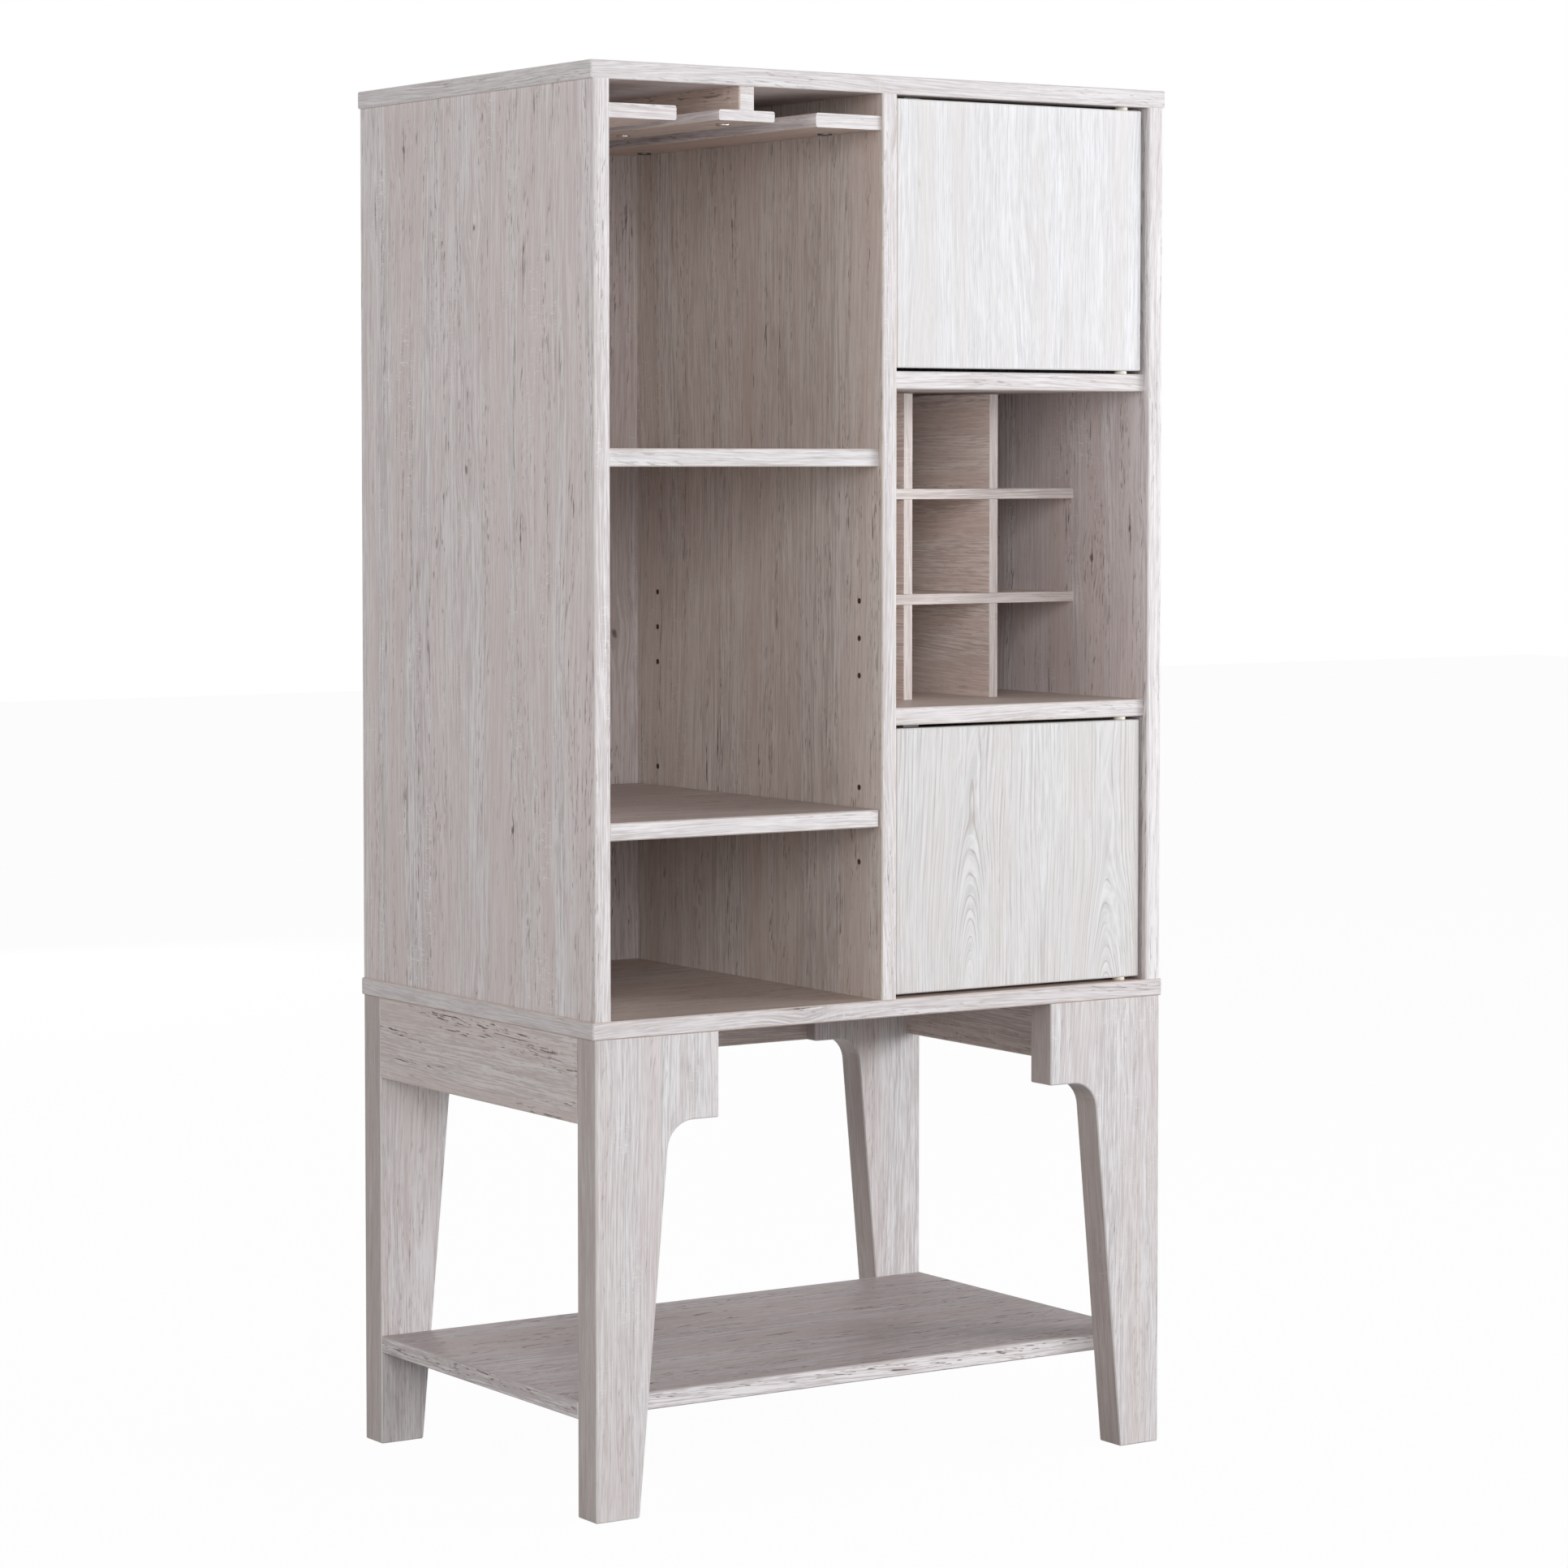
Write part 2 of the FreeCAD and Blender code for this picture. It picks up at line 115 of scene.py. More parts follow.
class CABINET_PG_hardware(bpy.types.PropertyGroup):
    """Small fittings that show on the boards."""
    cam_radius: length_property("Cam radius", "Radius of the board cams", 7.5 * MM)
    rack_cam_radius: length_property("Small cam radius", "Radius of the slats' cams", 6.25 * MM)
    sunk: length_property("Sunk", "How far a cam's face lies below its board", 0.3 * MM)
    rack_proud: length_property("Proud", "How far a cam stands out of its slat", 1.2 * MM)
    cross_width: length_property("Cross width", "Width of a screwdriver cross", 1.3 * MM)
    cross_depth: length_property("Cross depth", "Depth of a screwdriver cross", 1.4 * MM)
    nail_radius: length_property("Nail head radius", "Radius of the back's nail heads", 2.4 * MM)
    nail_pitch: length_property("Nail spacing", "Most that two nails stand apart", 0.11)
    nail_inset: length_property("Nail inset", "From a nail to the back panel's edge", 5.0 * MM)
    screw_radius: length_property("Screw head radius", "Radius of the latch screws", 3.2 * MM)
    # The zinc colour is darkened below bare zinc as a painted dark reflection, since the white
    # surroundings would mirror in it brightly
    zinc: color_property("Zinc", "Cast zinc of the cams", (112, 113, 110))
    nickel: color_property("Nickel", "Nickel plate of pins and bolts", (206, 203, 196))
    nylon: color_property("Nylon", "Off-white bushes", (232, 228, 214))


class CABINET_PG_stage(bpy.types.PropertyGroup):
    """Camera, lamps and floor."""
    floor_size: length_property("Floor size", "Side of the square floor", 24.0)
    right_power: power_property("Right lamp", "Power of the lamp at the front right", 93.0)
    front_power: power_property("Front lamp", "Power of the lamp in front", 14.0)
    low_power: power_property("Low lamp", "Power of the low lamp in front", 24.0)
    left_power: power_property("Left lamp", "Power of the lamp at the front left", 52.0)
    side_power: power_property("Side lamp", "Power of the lamp that faces the left side", 37.0)
    rear_power: power_property("Rear lamp", "Power of the lamp behind on the left", 18.0)
    back_power: power_property("Back lamp", "Power of the lamp that faces the back panel", 34.0)
    top_power: power_property("Top lamp", "Power of the lamp over the top panel", 15.0)
    key_color: color_property("Key colour", "Light from the right", (251, 253, 255))
    fill_color: color_property("Fill colour", "Light from the left", (255, 254, 254))
    ambient: number_property("Ambient", "Strength of the white surroundings", 0.0, 4.0)


def settings(name):
    return getattr(bpy.context.scene, "cabinet_" + name)


# Shader graphs

MIX_FIRST, MIX_SECOND, MIX_RESULT = 6, 7, 2    # Colour sockets of a Mix node
SURFACE = [("Color", "Color"), ("Float", "Roughness"), ("Float", "Height")]


class Graph:
    """Short ways to add and join nodes in one shader tree."""

    def __init__(self, tree):
        self.tree = tree

    def add(self, kind, *inputs, **values):
        """New node with these settings, its first sockets fed with the inputs in their order."""
        node = self.tree.nodes.new(kind)
        for name, value in values.items():
            setattr(node, name, value)
        for socket, value in zip(node.inputs, inputs):
            self.plug(socket, value)
        return node

    def plug(self, socket, value):
        if isinstance(value, bpy.types.NodeSocket):
            self.tree.links.new(value, socket)
        elif value is not None:
            socket.default_value = value

    def maths(self, operation, *values, clamp=False):
        return self.add("ShaderNodeMath", *values, operation=operation, use_clamp=clamp).outputs[0]

    def short_ways(self, *operations):
        """One short function for each kind of sum."""
        return [functools.partial(self.maths, operation) for operation in operations]

    def vector(self, operation, *values, scale=None):
        node = self.add("ShaderNodeVectorMath", *values, operation=operation)
        if scale is not None:
            self.plug(node.inputs["Scale"], scale)
        return node.outputs["Value" if operation == "DOT_PRODUCT" else "Vector"]

    def combine(self, x, y, z):
        return self.add("ShaderNodeCombineXYZ", x, y, z).outputs[0]

    def separate(self, vector):
        return self.add("ShaderNodeSeparateXYZ", vector).outputs

    def noise(self, x, y, z, detail=2.0, roughness=0.5, distortion=0.0):
        node = self.add("ShaderNodeTexNoise")
        for name, value in (("Vector", self.combine(x, y, z)), ("Scale", 1.0), ("Detail", detail),
                            ("Roughness", roughness), ("Distortion", distortion)):
            self.plug(node.inputs[name], value)
        return node.outputs["Fac"]

    def step(self, value, low, high, start=0.0, end=1.0):
        """Smooth step of a value between two bounds."""
        return self.add("ShaderNodeMapRange", value, low, high, start, end,
                        interpolation_type="SMOOTHSTEP").outputs[0]

    def blend(self, factor, first, second):
        node = self.add("ShaderNodeMix", factor, data_type="RGBA")
        self.plug(node.inputs[MIX_FIRST], first)
        self.plug(node.inputs[MIX_SECOND], second)
        return node.outputs[MIX_RESULT]

    def group(self, name, build):
        """Node of a shared group, which is built the first time."""
        tree = bpy.data.node_groups.get(name) or build()
        return self.add("ShaderNodeGroup", node_tree=tree)

    def seen(self):
        """1 where the camera looks, straight on, in a reflection or through glass."""
        path = self.add("ShaderNodeLightPath").outputs
        return self.maths("MAXIMUM", path["Is Camera Ray"],
                          self.maths("MAXIMUM", path["Is Glossy Ray"], path["Is Transmission Ray"]))


def new_group(name, inputs, outputs):
    """Empty shader group with named sockets: each is (kind, name) or (kind, name, default)."""
    tree = bpy.data.node_groups.new(name, "ShaderNodeTree")
    for way, sockets in (("INPUT", inputs), ("OUTPUT", outputs)):
        for kind, label, *default in sockets:
            socket = tree.interface.new_socket(name=label, in_out=way,
                                               socket_type="NodeSocket" + kind)
            if default:
                socket.default_value = default[0]
    graph = Graph(tree)
    return graph, graph.add("NodeGroupInput").outputs, graph.add("NodeGroupOutput").inputs


def board_frame_group():
    """Turns a place on a board into (across the grain, along it, into the board), face by face.

    Arris is 1 on bevels. Edge is 1 on the banded faces round the board, whose normals lie across
    its thickness.
    """
    flat, upright = 0.93, 0.5
    graph, given, out = new_group(
        "Board frame",
        [("Vector", "Position"), ("Vector", "Normal"),
         *(("Vector", f"Grain on {face} faces") for face in "XYZ"),
         ("Vector", "Thickness", (1.0, 0.0, 0.0))],
        [("Vector", "Vector"), ("Float", "Arris"), ("Float", "Edge")])
    m, vector = graph.maths, graph.vector
    nx, ny, nz = [m("ABSOLUTE", n) for n in graph.separate(given["Normal"])]
    on_z = m("GREATER_THAN", nz, m("MAXIMUM", nx, ny))
    not_z = m("SUBTRACT", 1.0, on_z)
    on_y = m("MULTIPLY", not_z, m("GREATER_THAN", ny, nx))
    on_x = m("SUBTRACT", not_z, on_y)
    grain = vector("ADD", vector("SCALE", given["Grain on X faces"], scale=on_x),
                   vector("SCALE", given["Grain on Y faces"], scale=on_y))
    grain = vector("ADD", grain, vector("SCALE", given["Grain on Z faces"], scale=on_z))
    axis = graph.combine(on_x, on_y, on_z)
    across = vector("CROSS_PRODUCT", grain, axis)
    parts = [vector("DOT_PRODUCT", given["Position"], way) for way in (across, grain, axis)]
    graph.plug(out["Vector"], graph.combine(*parts))
    highest = m("MAXIMUM", nz, m("MAXIMUM", nx, ny))
    graph.plug(out["Arris"], m("LESS_THAN", highest, flat))
    through = m("ABSOLUTE", vector("DOT_PRODUCT", given["Normal"], given["Thickness"]))
    graph.plug(out["Edge"], m("LESS_THAN", through, upright))
    return graph.tree


# Sizes of the oak's blotches, across the grain and along it, in metres

DRIFT = (0.09, 0.45)
RIPPLE = (0.022, 0.13)
KNOT_CELL = (0.15, 0.26)
HEART_LIFT = (0.022, 0.09)
RING_SHIFT = (0.004, 0.2)
RING_GAP = (0.007, 0.08)
BROAD = (0.019, 0.60)
BAND = (0.034, 0.8)
FINE = (0.0013, 0.070)
FIBRE = (0.0010, 0.018)
ZONE = (0.009, 0.20)
PIT = (0.0015, 0.011)
SLIT = (0.0018, 0.040)
BLOTCH = (0.030, 0.09)
RAY = (0.0105, 0.0026)

# Shares of tone and darkness that each of them gives

BROAD_TONE, FINE_TONE, FIBRE_TONE, RING_TONE, HALO_TONE = 1.25, 3.9, 2.7, 0.35, 0.35
PIT_DARK, SLIT_DARK, KNOT_DARK, CHECK_DARK, RING_DARK = 0.60, 0.66, 0.85, 0.8, 0.46
# Paling of the bevels is a painted highlight along the edges, laid over edge banding that is a
# little paler
RAY_PALE, RING_PALE, ARRIS_HIGHLIGHT = 0.75, 0.6, 0.45
NO_HEART = (3.0, 0.1, 0.0)    # Side, level and slope of a heart that lies metres away


def oak_group():
    """Printed whitewashed oak with planks, growth rings, pores, ray flecks, knots and checks, with
    painted shade and painted light laid over it by the casts and the pale bevels.
    """
    white = (1.0, 1.0, 1.0, 1.0)
    numbers = {"Arris": 0.0, "Edge": 0.0, "Seed": 0.0, "Plank Width": 0.095,
               "Plank Contrast": 0.25, "Streaks": 1.0, "Fibres": 1.0, "Pores": 1.0, "Flecks": 1.0,
               "Knots": 0.3, "Rings": 0.2, "Lean Limit": 9.0, "Warmth": 0.0, "Gloss": 0.4}
    graph, given, out = new_group(
        "Whitewashed oak",
        [("Vector", "Vector"), *(("Float", *number) for number in numbers.items()),
         *(("Vector", name, NO_HEART) for name in ("Heart", "Second Heart")),
         *(("Color", name, white) for name in ("Face Cast", "Edge Cast")),
         *(("Color", name) for name in ("Light", "Shade", "Brown", "Pore", "Fleck"))], SURFACE)
    m = graph.maths
    times, plus, minus, times_plus = graph.short_ways("MULTIPLY", "ADD", "SUBTRACT", "MULTIPLY_ADD")
    across, along, depth = graph.separate(given["Vector"])
    seed = given["Seed"]
    a = times_plus(seed, 1.37, across)
    g = times_plus(seed, 2.11, along)
    d = times_plus(depth, 8.0, times(seed, 0.73))

    def noise(x, y, size, shift, detail=1.0, **more):
        """Noise whose blotches have that size; the shift makes it unlike any other."""
        return graph.noise(m("DIVIDE", x, size[0]), m("DIVIDE", y, size[1]), plus(d, shift),
                           detail, **more)

    def centred(value, share):
        return times(minus(value, 0.5), share)

    drift = centred(noise(a, g, DRIFT, 3.0), 0.030)
    ripple = centred(noise(a, g, RIPPLE, 5.0, detail=2.0), 0.0050)
    warp = plus(drift, ripple)

    # Planks side by side, each with its own tone and its own stretch of grain
    cells = graph.add("ShaderNodeTexVoronoi", voronoi_dimensions="1D")
    graph.plug(cells.inputs["W"], m("DIVIDE", a, given["Plank Width"]))
    graph.plug(cells.inputs["Scale"], 1.0)
    plank_a, plank_b, plank_c = graph.separate(cells.outputs["Color"])
    a_plank = times_plus(plank_a, 0.7, plus(a, warp))
    g_plank = times_plus(plank_b, 1.9, g)

    # Knots, with a halo that pushes the grain aside and a check along the grain
    knot_across, knot_along = KNOT_CELL
    jitter = graph.noise(times(a_plank, 260.0), times(g_plank, 120.0), d, detail=2.0)
    kx = plus(m("DIVIDE", a_plank, knot_across), centred(jitter, 0.02))
    ky = plus(m("DIVIDE", g_plank, knot_along), centred(jitter, 0.02))
    knots = graph.add("ShaderNodeTexVoronoi", voronoi_dimensions="2D")
    graph.plug(knots.inputs["Vector"], graph.combine(kx, ky, 0.0))
    graph.plug(knots.inputs["Scale"], 1.0)
    near = knots.outputs["Distance"]
    pick_a, pick_b, pick_c = graph.separate(knots.outputs["Color"])
    centre_x, centre_y = graph.separate(knots.outputs["Position"])[:2]
    keep = m("GREATER_THAN", given["Knots"], pick_a)
    off_x = times(minus(kx, centre_x), knot_across)
    off_y = times(minus(ky, centre_y), knot_along)
    small = times_plus(pick_b, 0.7, 0.3)
    core = times(keep, graph.step(m("DIVIDE", near, small), 0.006, 0.024, 1.0, 0.0))
    halo = times(keep, graph.step(near, 0.0, 0.17, 1.0, 0.0))
    bent = m("ABSOLUTE", times_plus(jitter, 0.0009, off_x))
    thin = graph.step(bent, 0.0003, 0.0010, 1.0, 0.0)
    short = graph.step(m("ABSOLUTE", off_y), 0.004, 0.030, 1.0, 0.0)
    cracked = times(keep, m("GREATER_THAN", pick_c, 0.45))
    check = times(times(thin, short), cracked)
    push = times(times(off_x, halo), -0.75)
    flow = plus(a_plank, push)

    # Growth rings round one or two hearts that lean through the board
    round_off = 0.004

    def from_heart(heart, shift):
        side, level, slope = graph.separate(heart)
        reach = minus(plus(plus(across, warp), push), side)
        lean = m("SMOOTH_MIN", times_plus(slope, along, level), given["Lean Limit"], round_off)
        lift = plus(lean, centred(noise(across, along, HEART_LIFT, shift), 0.0045))
        return m("SQRT", plus(times(reach, reach), times(lift, lift)))

    first = from_heart(given["Heart"], 11.0)
    second = from_heart(given["Second Heart"], 17.0)
    cathedral = m("SMOOTH_MIN", first, second, round_off)
    nearer = m("LESS_THAN", second, first)
    first_side = graph.separate(given["Heart"])[0]
    second_side = graph.separate(given["Second Heart"])[0]
    heart_side = times_plus(nearer, minus(second_side, first_side), first_side)
    far = m("GREATER_THAN", cathedral, 1.0)
    ring_space = plus(times(far, flow), times(minus(1.0, far), cathedral))
    crowd = times(m("SQRT", m("ABSOLUTE", ring_space)), 128.0)
    shake = centred(noise(ring_space, along, RING_SHIFT, 2.0, detail=2.0), 1.8)
    saw = m("FRACT", plus(crowd, shake))
    off_heart = m("ABSOLUTE", minus(plus(across, warp), heart_side))
    beside = m("DIVIDE", off_heart, ring_space, clamp=True)
    half = times_plus(beside, 0.15, 0.09)

    def ridge(middle):
        gap = m("DIVIDE", m("ABSOLUTE", minus(saw, middle)), half)
        return graph.step(gap, 0.2, 1.0, 1.0, 0.0)

    line = ridge(0.66)
    pale = ridge(0.34)
    slant = times_plus(across, 4.0, along)
    seen = graph.step(noise(ring_space, slant, RING_GAP, 7.0, detail=2.0), 0.38, 0.58)
    rings = times(times(seen, given["Rings"]), times_plus(beside, -0.5, 1.0))

    # Streaks from broad bands down to single fibres; the skew keeps a cathedral's flanks unlike
    skew = times_plus(across, 3.0, g_plank)
    broad = noise(ring_space, times_plus(across, 14.0, g_plank), BROAD, 1.0, detail=2.0)
    fine = noise(ring_space, skew, FINE, 4.0)
    fibre = noise(ring_space, skew, FIBRE, 6.0)
    fibres = times(given["Fibres"], times_plus(given["Edge"], -0.45, 1.0))
    tone = plus(0.42, centred(broad, times(given["Streaks"], BROAD_TONE)))
    tone = plus(tone, centred(fine, times(fibres, FINE_TONE)))
    tone = plus(tone, centred(fibre, times(fibres, FIBRE_TONE)))
    tone = plus(tone, centred(plank_c, given["Plank Contrast"]))
    tone = plus(tone, times(times(saw, rings), RING_TONE))
    tone = times_plus(halo, HALO_TONE, tone)
    tone = m("MINIMUM", m("MAXIMUM", tone, 0.0), 1.0)
    color = graph.blend(tone, given["Light"], given["Shade"])
    band = graph.step(noise(ring_space, g_plank, BAND, 9.0, detail=2.0), 0.32, 0.68, 0.0, 0.95)
    warm = plus(band, times_plus(plank_b, 0.35, given["Warmth"]))
    warm = times(warm, times_plus(fine, 0.6, 0.35), clamp=True)
    warm = times(warm, times_plus(given["Edge"], -0.75, 1.0))
    color = graph.blend(warm, color, given["Brown"])

    # Pores gather in bands; longer slits are rarer
    zone = graph.step(noise(ring_space, skew, ZONE, 8.0, detail=2.0), 0.47, 0.63, 0.10, 1.0)
    pit = graph.step(noise(ring_space, skew, PIT, 12.0), 0.60, 0.70)
    slit = graph.step(noise(ring_space, skew, SLIT, 14.0), 0.64, 0.74)
    pores = plus(times(pit, PIT_DARK), times(slit, SLIT_DARK))
    pores = times(times(pores, zone), times_plus(given["Edge"], -0.35, given["Pores"]))
    dark = plus(times(core, KNOT_DARK), times(check, CHECK_DARK))
    dark = plus(plus(pores, dark), times(times(line, rings), RING_DARK), clamp=True)
    color = graph.blend(dark, color, given["Pore"])

    # Ray flecks, pale and wavy, lie across the grain in some planks
    blotch = graph.step(noise(flow, g_plank, BLOTCH, 15.0), 0.50, 0.66)
    ray = graph.step(noise(flow, g_plank, RAY, 16.0, detail=2.0, distortion=1.6), 0.56, 0.70)
    ray = times(times(ray, blotch), times(given["Flecks"], plank_a))
    # Ray flecks and pale ring lines are print; the pale bevels are a painted highlight
    for share in (times(ray, RAY_PALE), times(times(pale, rings), RING_PALE),
                  times(given["Arris"], ARRIS_HIGHLIGHT)):
        color = graph.blend(share, color, given["Fleck"])
    # Painted shade and painted light: the face and edge colours are scaled by each board's cast,
    # darker where shade falls on the board, lighter where more light should reach it
    cast = graph.blend(given["Edge"], given["Face Cast"], given["Edge Cast"])
    graph.plug(out["Color"], graph.vector("MULTIPLY", color, cast))
    rough = plus(given["Gloss"], plus(centred(fine, 0.16), times(pores, 0.22)))
    graph.plug(out["Roughness"], rough)
    height = minus(times(fine, 0.35), times(dark, 0.8))
    graph.plug(out["Height"], times_plus(ray, 0.2, height))
    return graph.tree


def grime_group():
    """Fine casting or moulding texture for small fittings."""
    graph, given, out = new_group(
        "Fitting surface",
        [("Vector", "Vector"), ("Float", "Grain Size", 0.0006), ("Float", "Variation", 0.1),
         ("Float", "Gloss", 0.35), ("Color", "Color"), ("Color", "Dirt")], SURFACE)
    clouds_per_metre = 180.0
    times, plus, minus, times_plus = graph.short_ways("MULTIPLY", "ADD", "SUBTRACT", "MULTIPLY_ADD")
    place = graph.vector("DIVIDE", given["Vector"], graph.combine(*[given["Grain Size"]] * 3))
    grain = graph.noise(*graph.separate(place), detail=3.0, roughness=0.6)
    place = graph.vector("SCALE", given["Vector"], scale=clouds_per_metre)
    cloud = graph.noise(*graph.separate(place), detail=3.0)
    stain = times(graph.step(cloud, 0.45, 0.75), given["Variation"])
    graph.plug(out["Color"], graph.blend(stain, given["Color"], given["Dirt"]))
    spread = times(minus(cloud, 0.5), given["Variation"])
    spread = times_plus(spread, 1.2, times(grain, 0.05))
    graph.plug(out["Roughness"], plus(given["Gloss"], spread))
    graph.plug(out["Height"], grain)
    return graph.tree


def new_material(name, slot_color):
    material = bpy.data.materials.new(name)
    material.use_nodes = True
    material.diffuse_color = (*slot_color, 1.0)
    graph = Graph(material.node_tree)
    return material, graph, material.node_tree.nodes["Principled BSDF"]


def finish_from(graph, shader, group, relief):
    """Feeds a shader's colour, roughness and normal from a surface group."""
    bump = graph.add("ShaderNodeBump")
    bump.inputs["Strength"].default_value = 1.0
    bump.inputs["Distance"].default_value = relief
    graph.plug(bump.inputs["Height"], group.outputs["Height"])
    graph.plug(shader.inputs["Base Color"], group.outputs["Color"])
    graph.plug(shader.inputs["Roughness"], group.outputs["Roughness"])
    graph.plug(shader.inputs["Normal"], bump.outputs["Normal"])


def oak(node, seed, layout, colors="oak", shine=0.3, face_cast=(1, 1, 1), edge_cast=(1, 1, 1),
        **values):
    """Oak of one board; layout gives the grain's way on X, Y and Z faces, then the thickness. The
    two casts scale its face and edge colours as painted shade and painted light.
    """
    *grains, thickness = layout
    wood = settings("oak")
    palette = settings(colors)
    material, graph, shader = new_material("Oak " + node.replace("_", " "), palette.light)
    place = graph.add("ShaderNodeTexCoord").outputs
    board = graph.group("Board frame", board_frame_group)
    graph.plug(board.inputs["Position"], place["Object"])
    graph.plug(board.inputs["Normal"], place["Normal"])
    for face, way in zip("XYZ", grains):
        board.inputs[f"Grain on {face} faces"].default_value = way
    board.inputs["Thickness"].default_value = thickness
    group = graph.group("Whitewashed oak", oak_group)
    for label in ("Vector", "Arris", "Edge"):
        graph.plug(group.inputs[label], board.outputs[label])
    values = {"seed": float(seed), "plank_width": wood.plank, "gloss": wood.gloss, **values}
    for label, value in values.items():
        group.inputs[label.replace("_", " ").title()].default_value = value
    for label, card in (("Light", palette.light), ("Shade", palette.shade),
                        ("Brown", palette.brown), ("Pore", palette.pore), ("Fleck", wood.fleck),
                        ("Face Cast", face_cast), ("Edge Cast", edge_cast)):
        group.inputs[label].default_value = (*card, 1.0)
    finish_from(graph, shader, group, wood.relief)
    shader.inputs["IOR"].default_value = 1.45
    shader.inputs["Specular IOR Level"].default_value = shine
    return material


# Colour card or the hardware setting that holds it, card of the dirt, roughness, and the rest

FITTINGS = {
    # Cast zinc's colour and dirt are darkened as a painted dark reflection
    "Cast zinc": ("zinc", (70, 73, 70), 0.36, {"metallic": 1.0, "variation": 0.5}),
    "Nickel plate": ("nickel", (160, 156, 148), 0.22, {"metallic": 1.0, "variation": 0.25}),
    "Nylon": ("nylon", (206, 200, 182), 0.45, {"variation": 0.3}),
    "Pale moulding": ((206, 206, 204), (180, 180, 178), 0.48, {"variation": 0.3}),
    "Black moulding": ((38, 38, 40), (62, 60, 58), 0.40, {"variation": 0.4}),
    "Beech": ((205, 176, 138), (176, 142, 104), 0.62, {"variation": 0.7, "grain": 1.2 * MM}),
    "Raw chipboard": ((92, 76, 60), (60, 47, 35), 0.85,
                      {"variation": 0.9, "grain": 1.5 * MM, "relief": 0.25 * MM}),
    "Raw hardboard": ((168, 142, 112), (140, 114, 88), 0.72,
                      {"variation": 0.6, "grain": 0.9 * MM, "relief": 0.06 * MM}),
}


def fitting(name):
    """Metal, moulded or raw material of FITTINGS, made once."""
    if name in bpy.data.materials:
        return bpy.data.materials[name]
    color, dirt, gloss, rest = FITTINGS[name]
    rest = {"metallic": 0.0, "grain": 0.6 * MM, "relief": 0.02 * MM, **rest}
    color = getattr(settings("hardware"), color) if isinstance(color, str) else tint(*color)
    material, graph, shader = new_material(name, color)
    group = graph.group("Fitting surface", grime_group)
    graph.plug(group.inputs["Vector"], graph.add("ShaderNodeTexCoord").outputs["Object"])
    for label, value in (("Grain Size", rest["grain"]), ("Variation", rest["variation"]),
                         ("Gloss", gloss), ("Color", (*color, 1.0)), ("Dirt", (*tint(*dirt), 1.0))):
        group.inputs[label].default_value = value
    finish_from(graph, shader, group, rest["relief"])
    shader.inputs["Metallic"].default_value = rest["metallic"]
    return material


# Modelling helpers

def only(*objects):
    """Selects these objects alone and makes the first one active."""
    bpy.ops.object.select_all(action="DESELECT")
    for piece in objects:
        piece.select_set(True)
    bpy.context.view_layer.objects.active = objects[0]


def round_blank(radius, depth, sides=40):
    """Cylinder that stands on the origin and points up."""
    bpy.ops.object.select_all(action="DESELECT")
    bpy.ops.mesh.primitive_cylinder_add(vertices=sides, radius=radius, depth=depth,
                                        location=(0, 0, depth / 2))
    bpy.ops.object.transform_apply(location=True, rotation=True, scale=True)
    return bpy.context.object


def box_blank(size, centre):
    bpy.ops.object.select_all(action="DESELECT")
    bpy.ops.mesh.primitive_cube_add(size=1.0, location=centre)
    bpy.context.object.scale = size
    bpy.ops.object.transform_apply(location=True, rotation=True, scale=True)
    return bpy.context.object


def upward(centre, normal):
    return normal.z > 0.9


def downward(centre, normal):
    return normal.z < -0.9


def edit_faces(piece, chosen):
    """Enters edit mode with the faces that chosen(centre, normal) picks."""
    only(piece)
    bpy.ops.object.mode_set(mode="EDIT")
    bpy.ops.mesh.select_mode(type="FACE")
    bpy.ops.mesh.select_all(action="DESELECT")
    mesh = bmesh.from_edit_mesh(piece.data)
    for face in mesh.faces:
        face.select_set(chosen(face.calc_center_median(), face.normal))
    mesh.select_flush_mode()
    bmesh.update_edit_mesh(piece.data)


def leave_edit():
    bpy.ops.object.mode_set(mode="OBJECT")


def pull_down(depth):
    """Extrudes the chosen faces downwards in edit mode."""
    bpy.ops.mesh.extrude_region_move(TRANSFORM_OT_translate={"value": (0, 0, -depth)})


def headed_pin(radius, head, shank_radius, shank, sides=40):
    """Head that stands on the origin with a thinner shank below it; edit mode stays on."""
    pin = round_blank(radius, head, sides)
    edit_faces(pin, downward)
    bpy.ops.mesh.inset(thickness=radius - shank_radius, depth=0.0)
    pull_down(shank)
    return pin


def lower(piece, depth):
    piece.data.transform(Matrix.Translation((0, 0, -depth)))


def cut(piece, cutter, operation="DIFFERENCE"):
    modifier = piece.modifiers.new("Cut", "BOOLEAN")
    modifier.object = cutter
    modifier.operation = operation
    modifier.solver = "EXACT"
    only(piece)
    bpy.ops.object.modifier_apply(modifier="Cut")
    bpy.data.objects.remove(cutter)


def soften(piece, width, segments=2):
    modifier = piece.modifiers.new("Soften", "BEVEL")
    modifier.width = width
    modifier.segments = segments
    modifier.limit_method = "ANGLE"
    modifier.angle_limit = math.radians(40.0)
    only(piece)
    bpy.ops.object.modifier_apply(modifier="Soften")


def smooth(piece, angle=35.0):
    only(piece)
    bpy.ops.object.shade_smooth_by_angle(angle=math.radians(angle))


def cut_cross(piece, top, length, width, depth):
    """Screwdriver cross, that deep, in a face at height top."""
    for size in ((length, width), (width, length)):
        cut(piece, box_blank((*size, 2 * depth), (0, 0, top)))


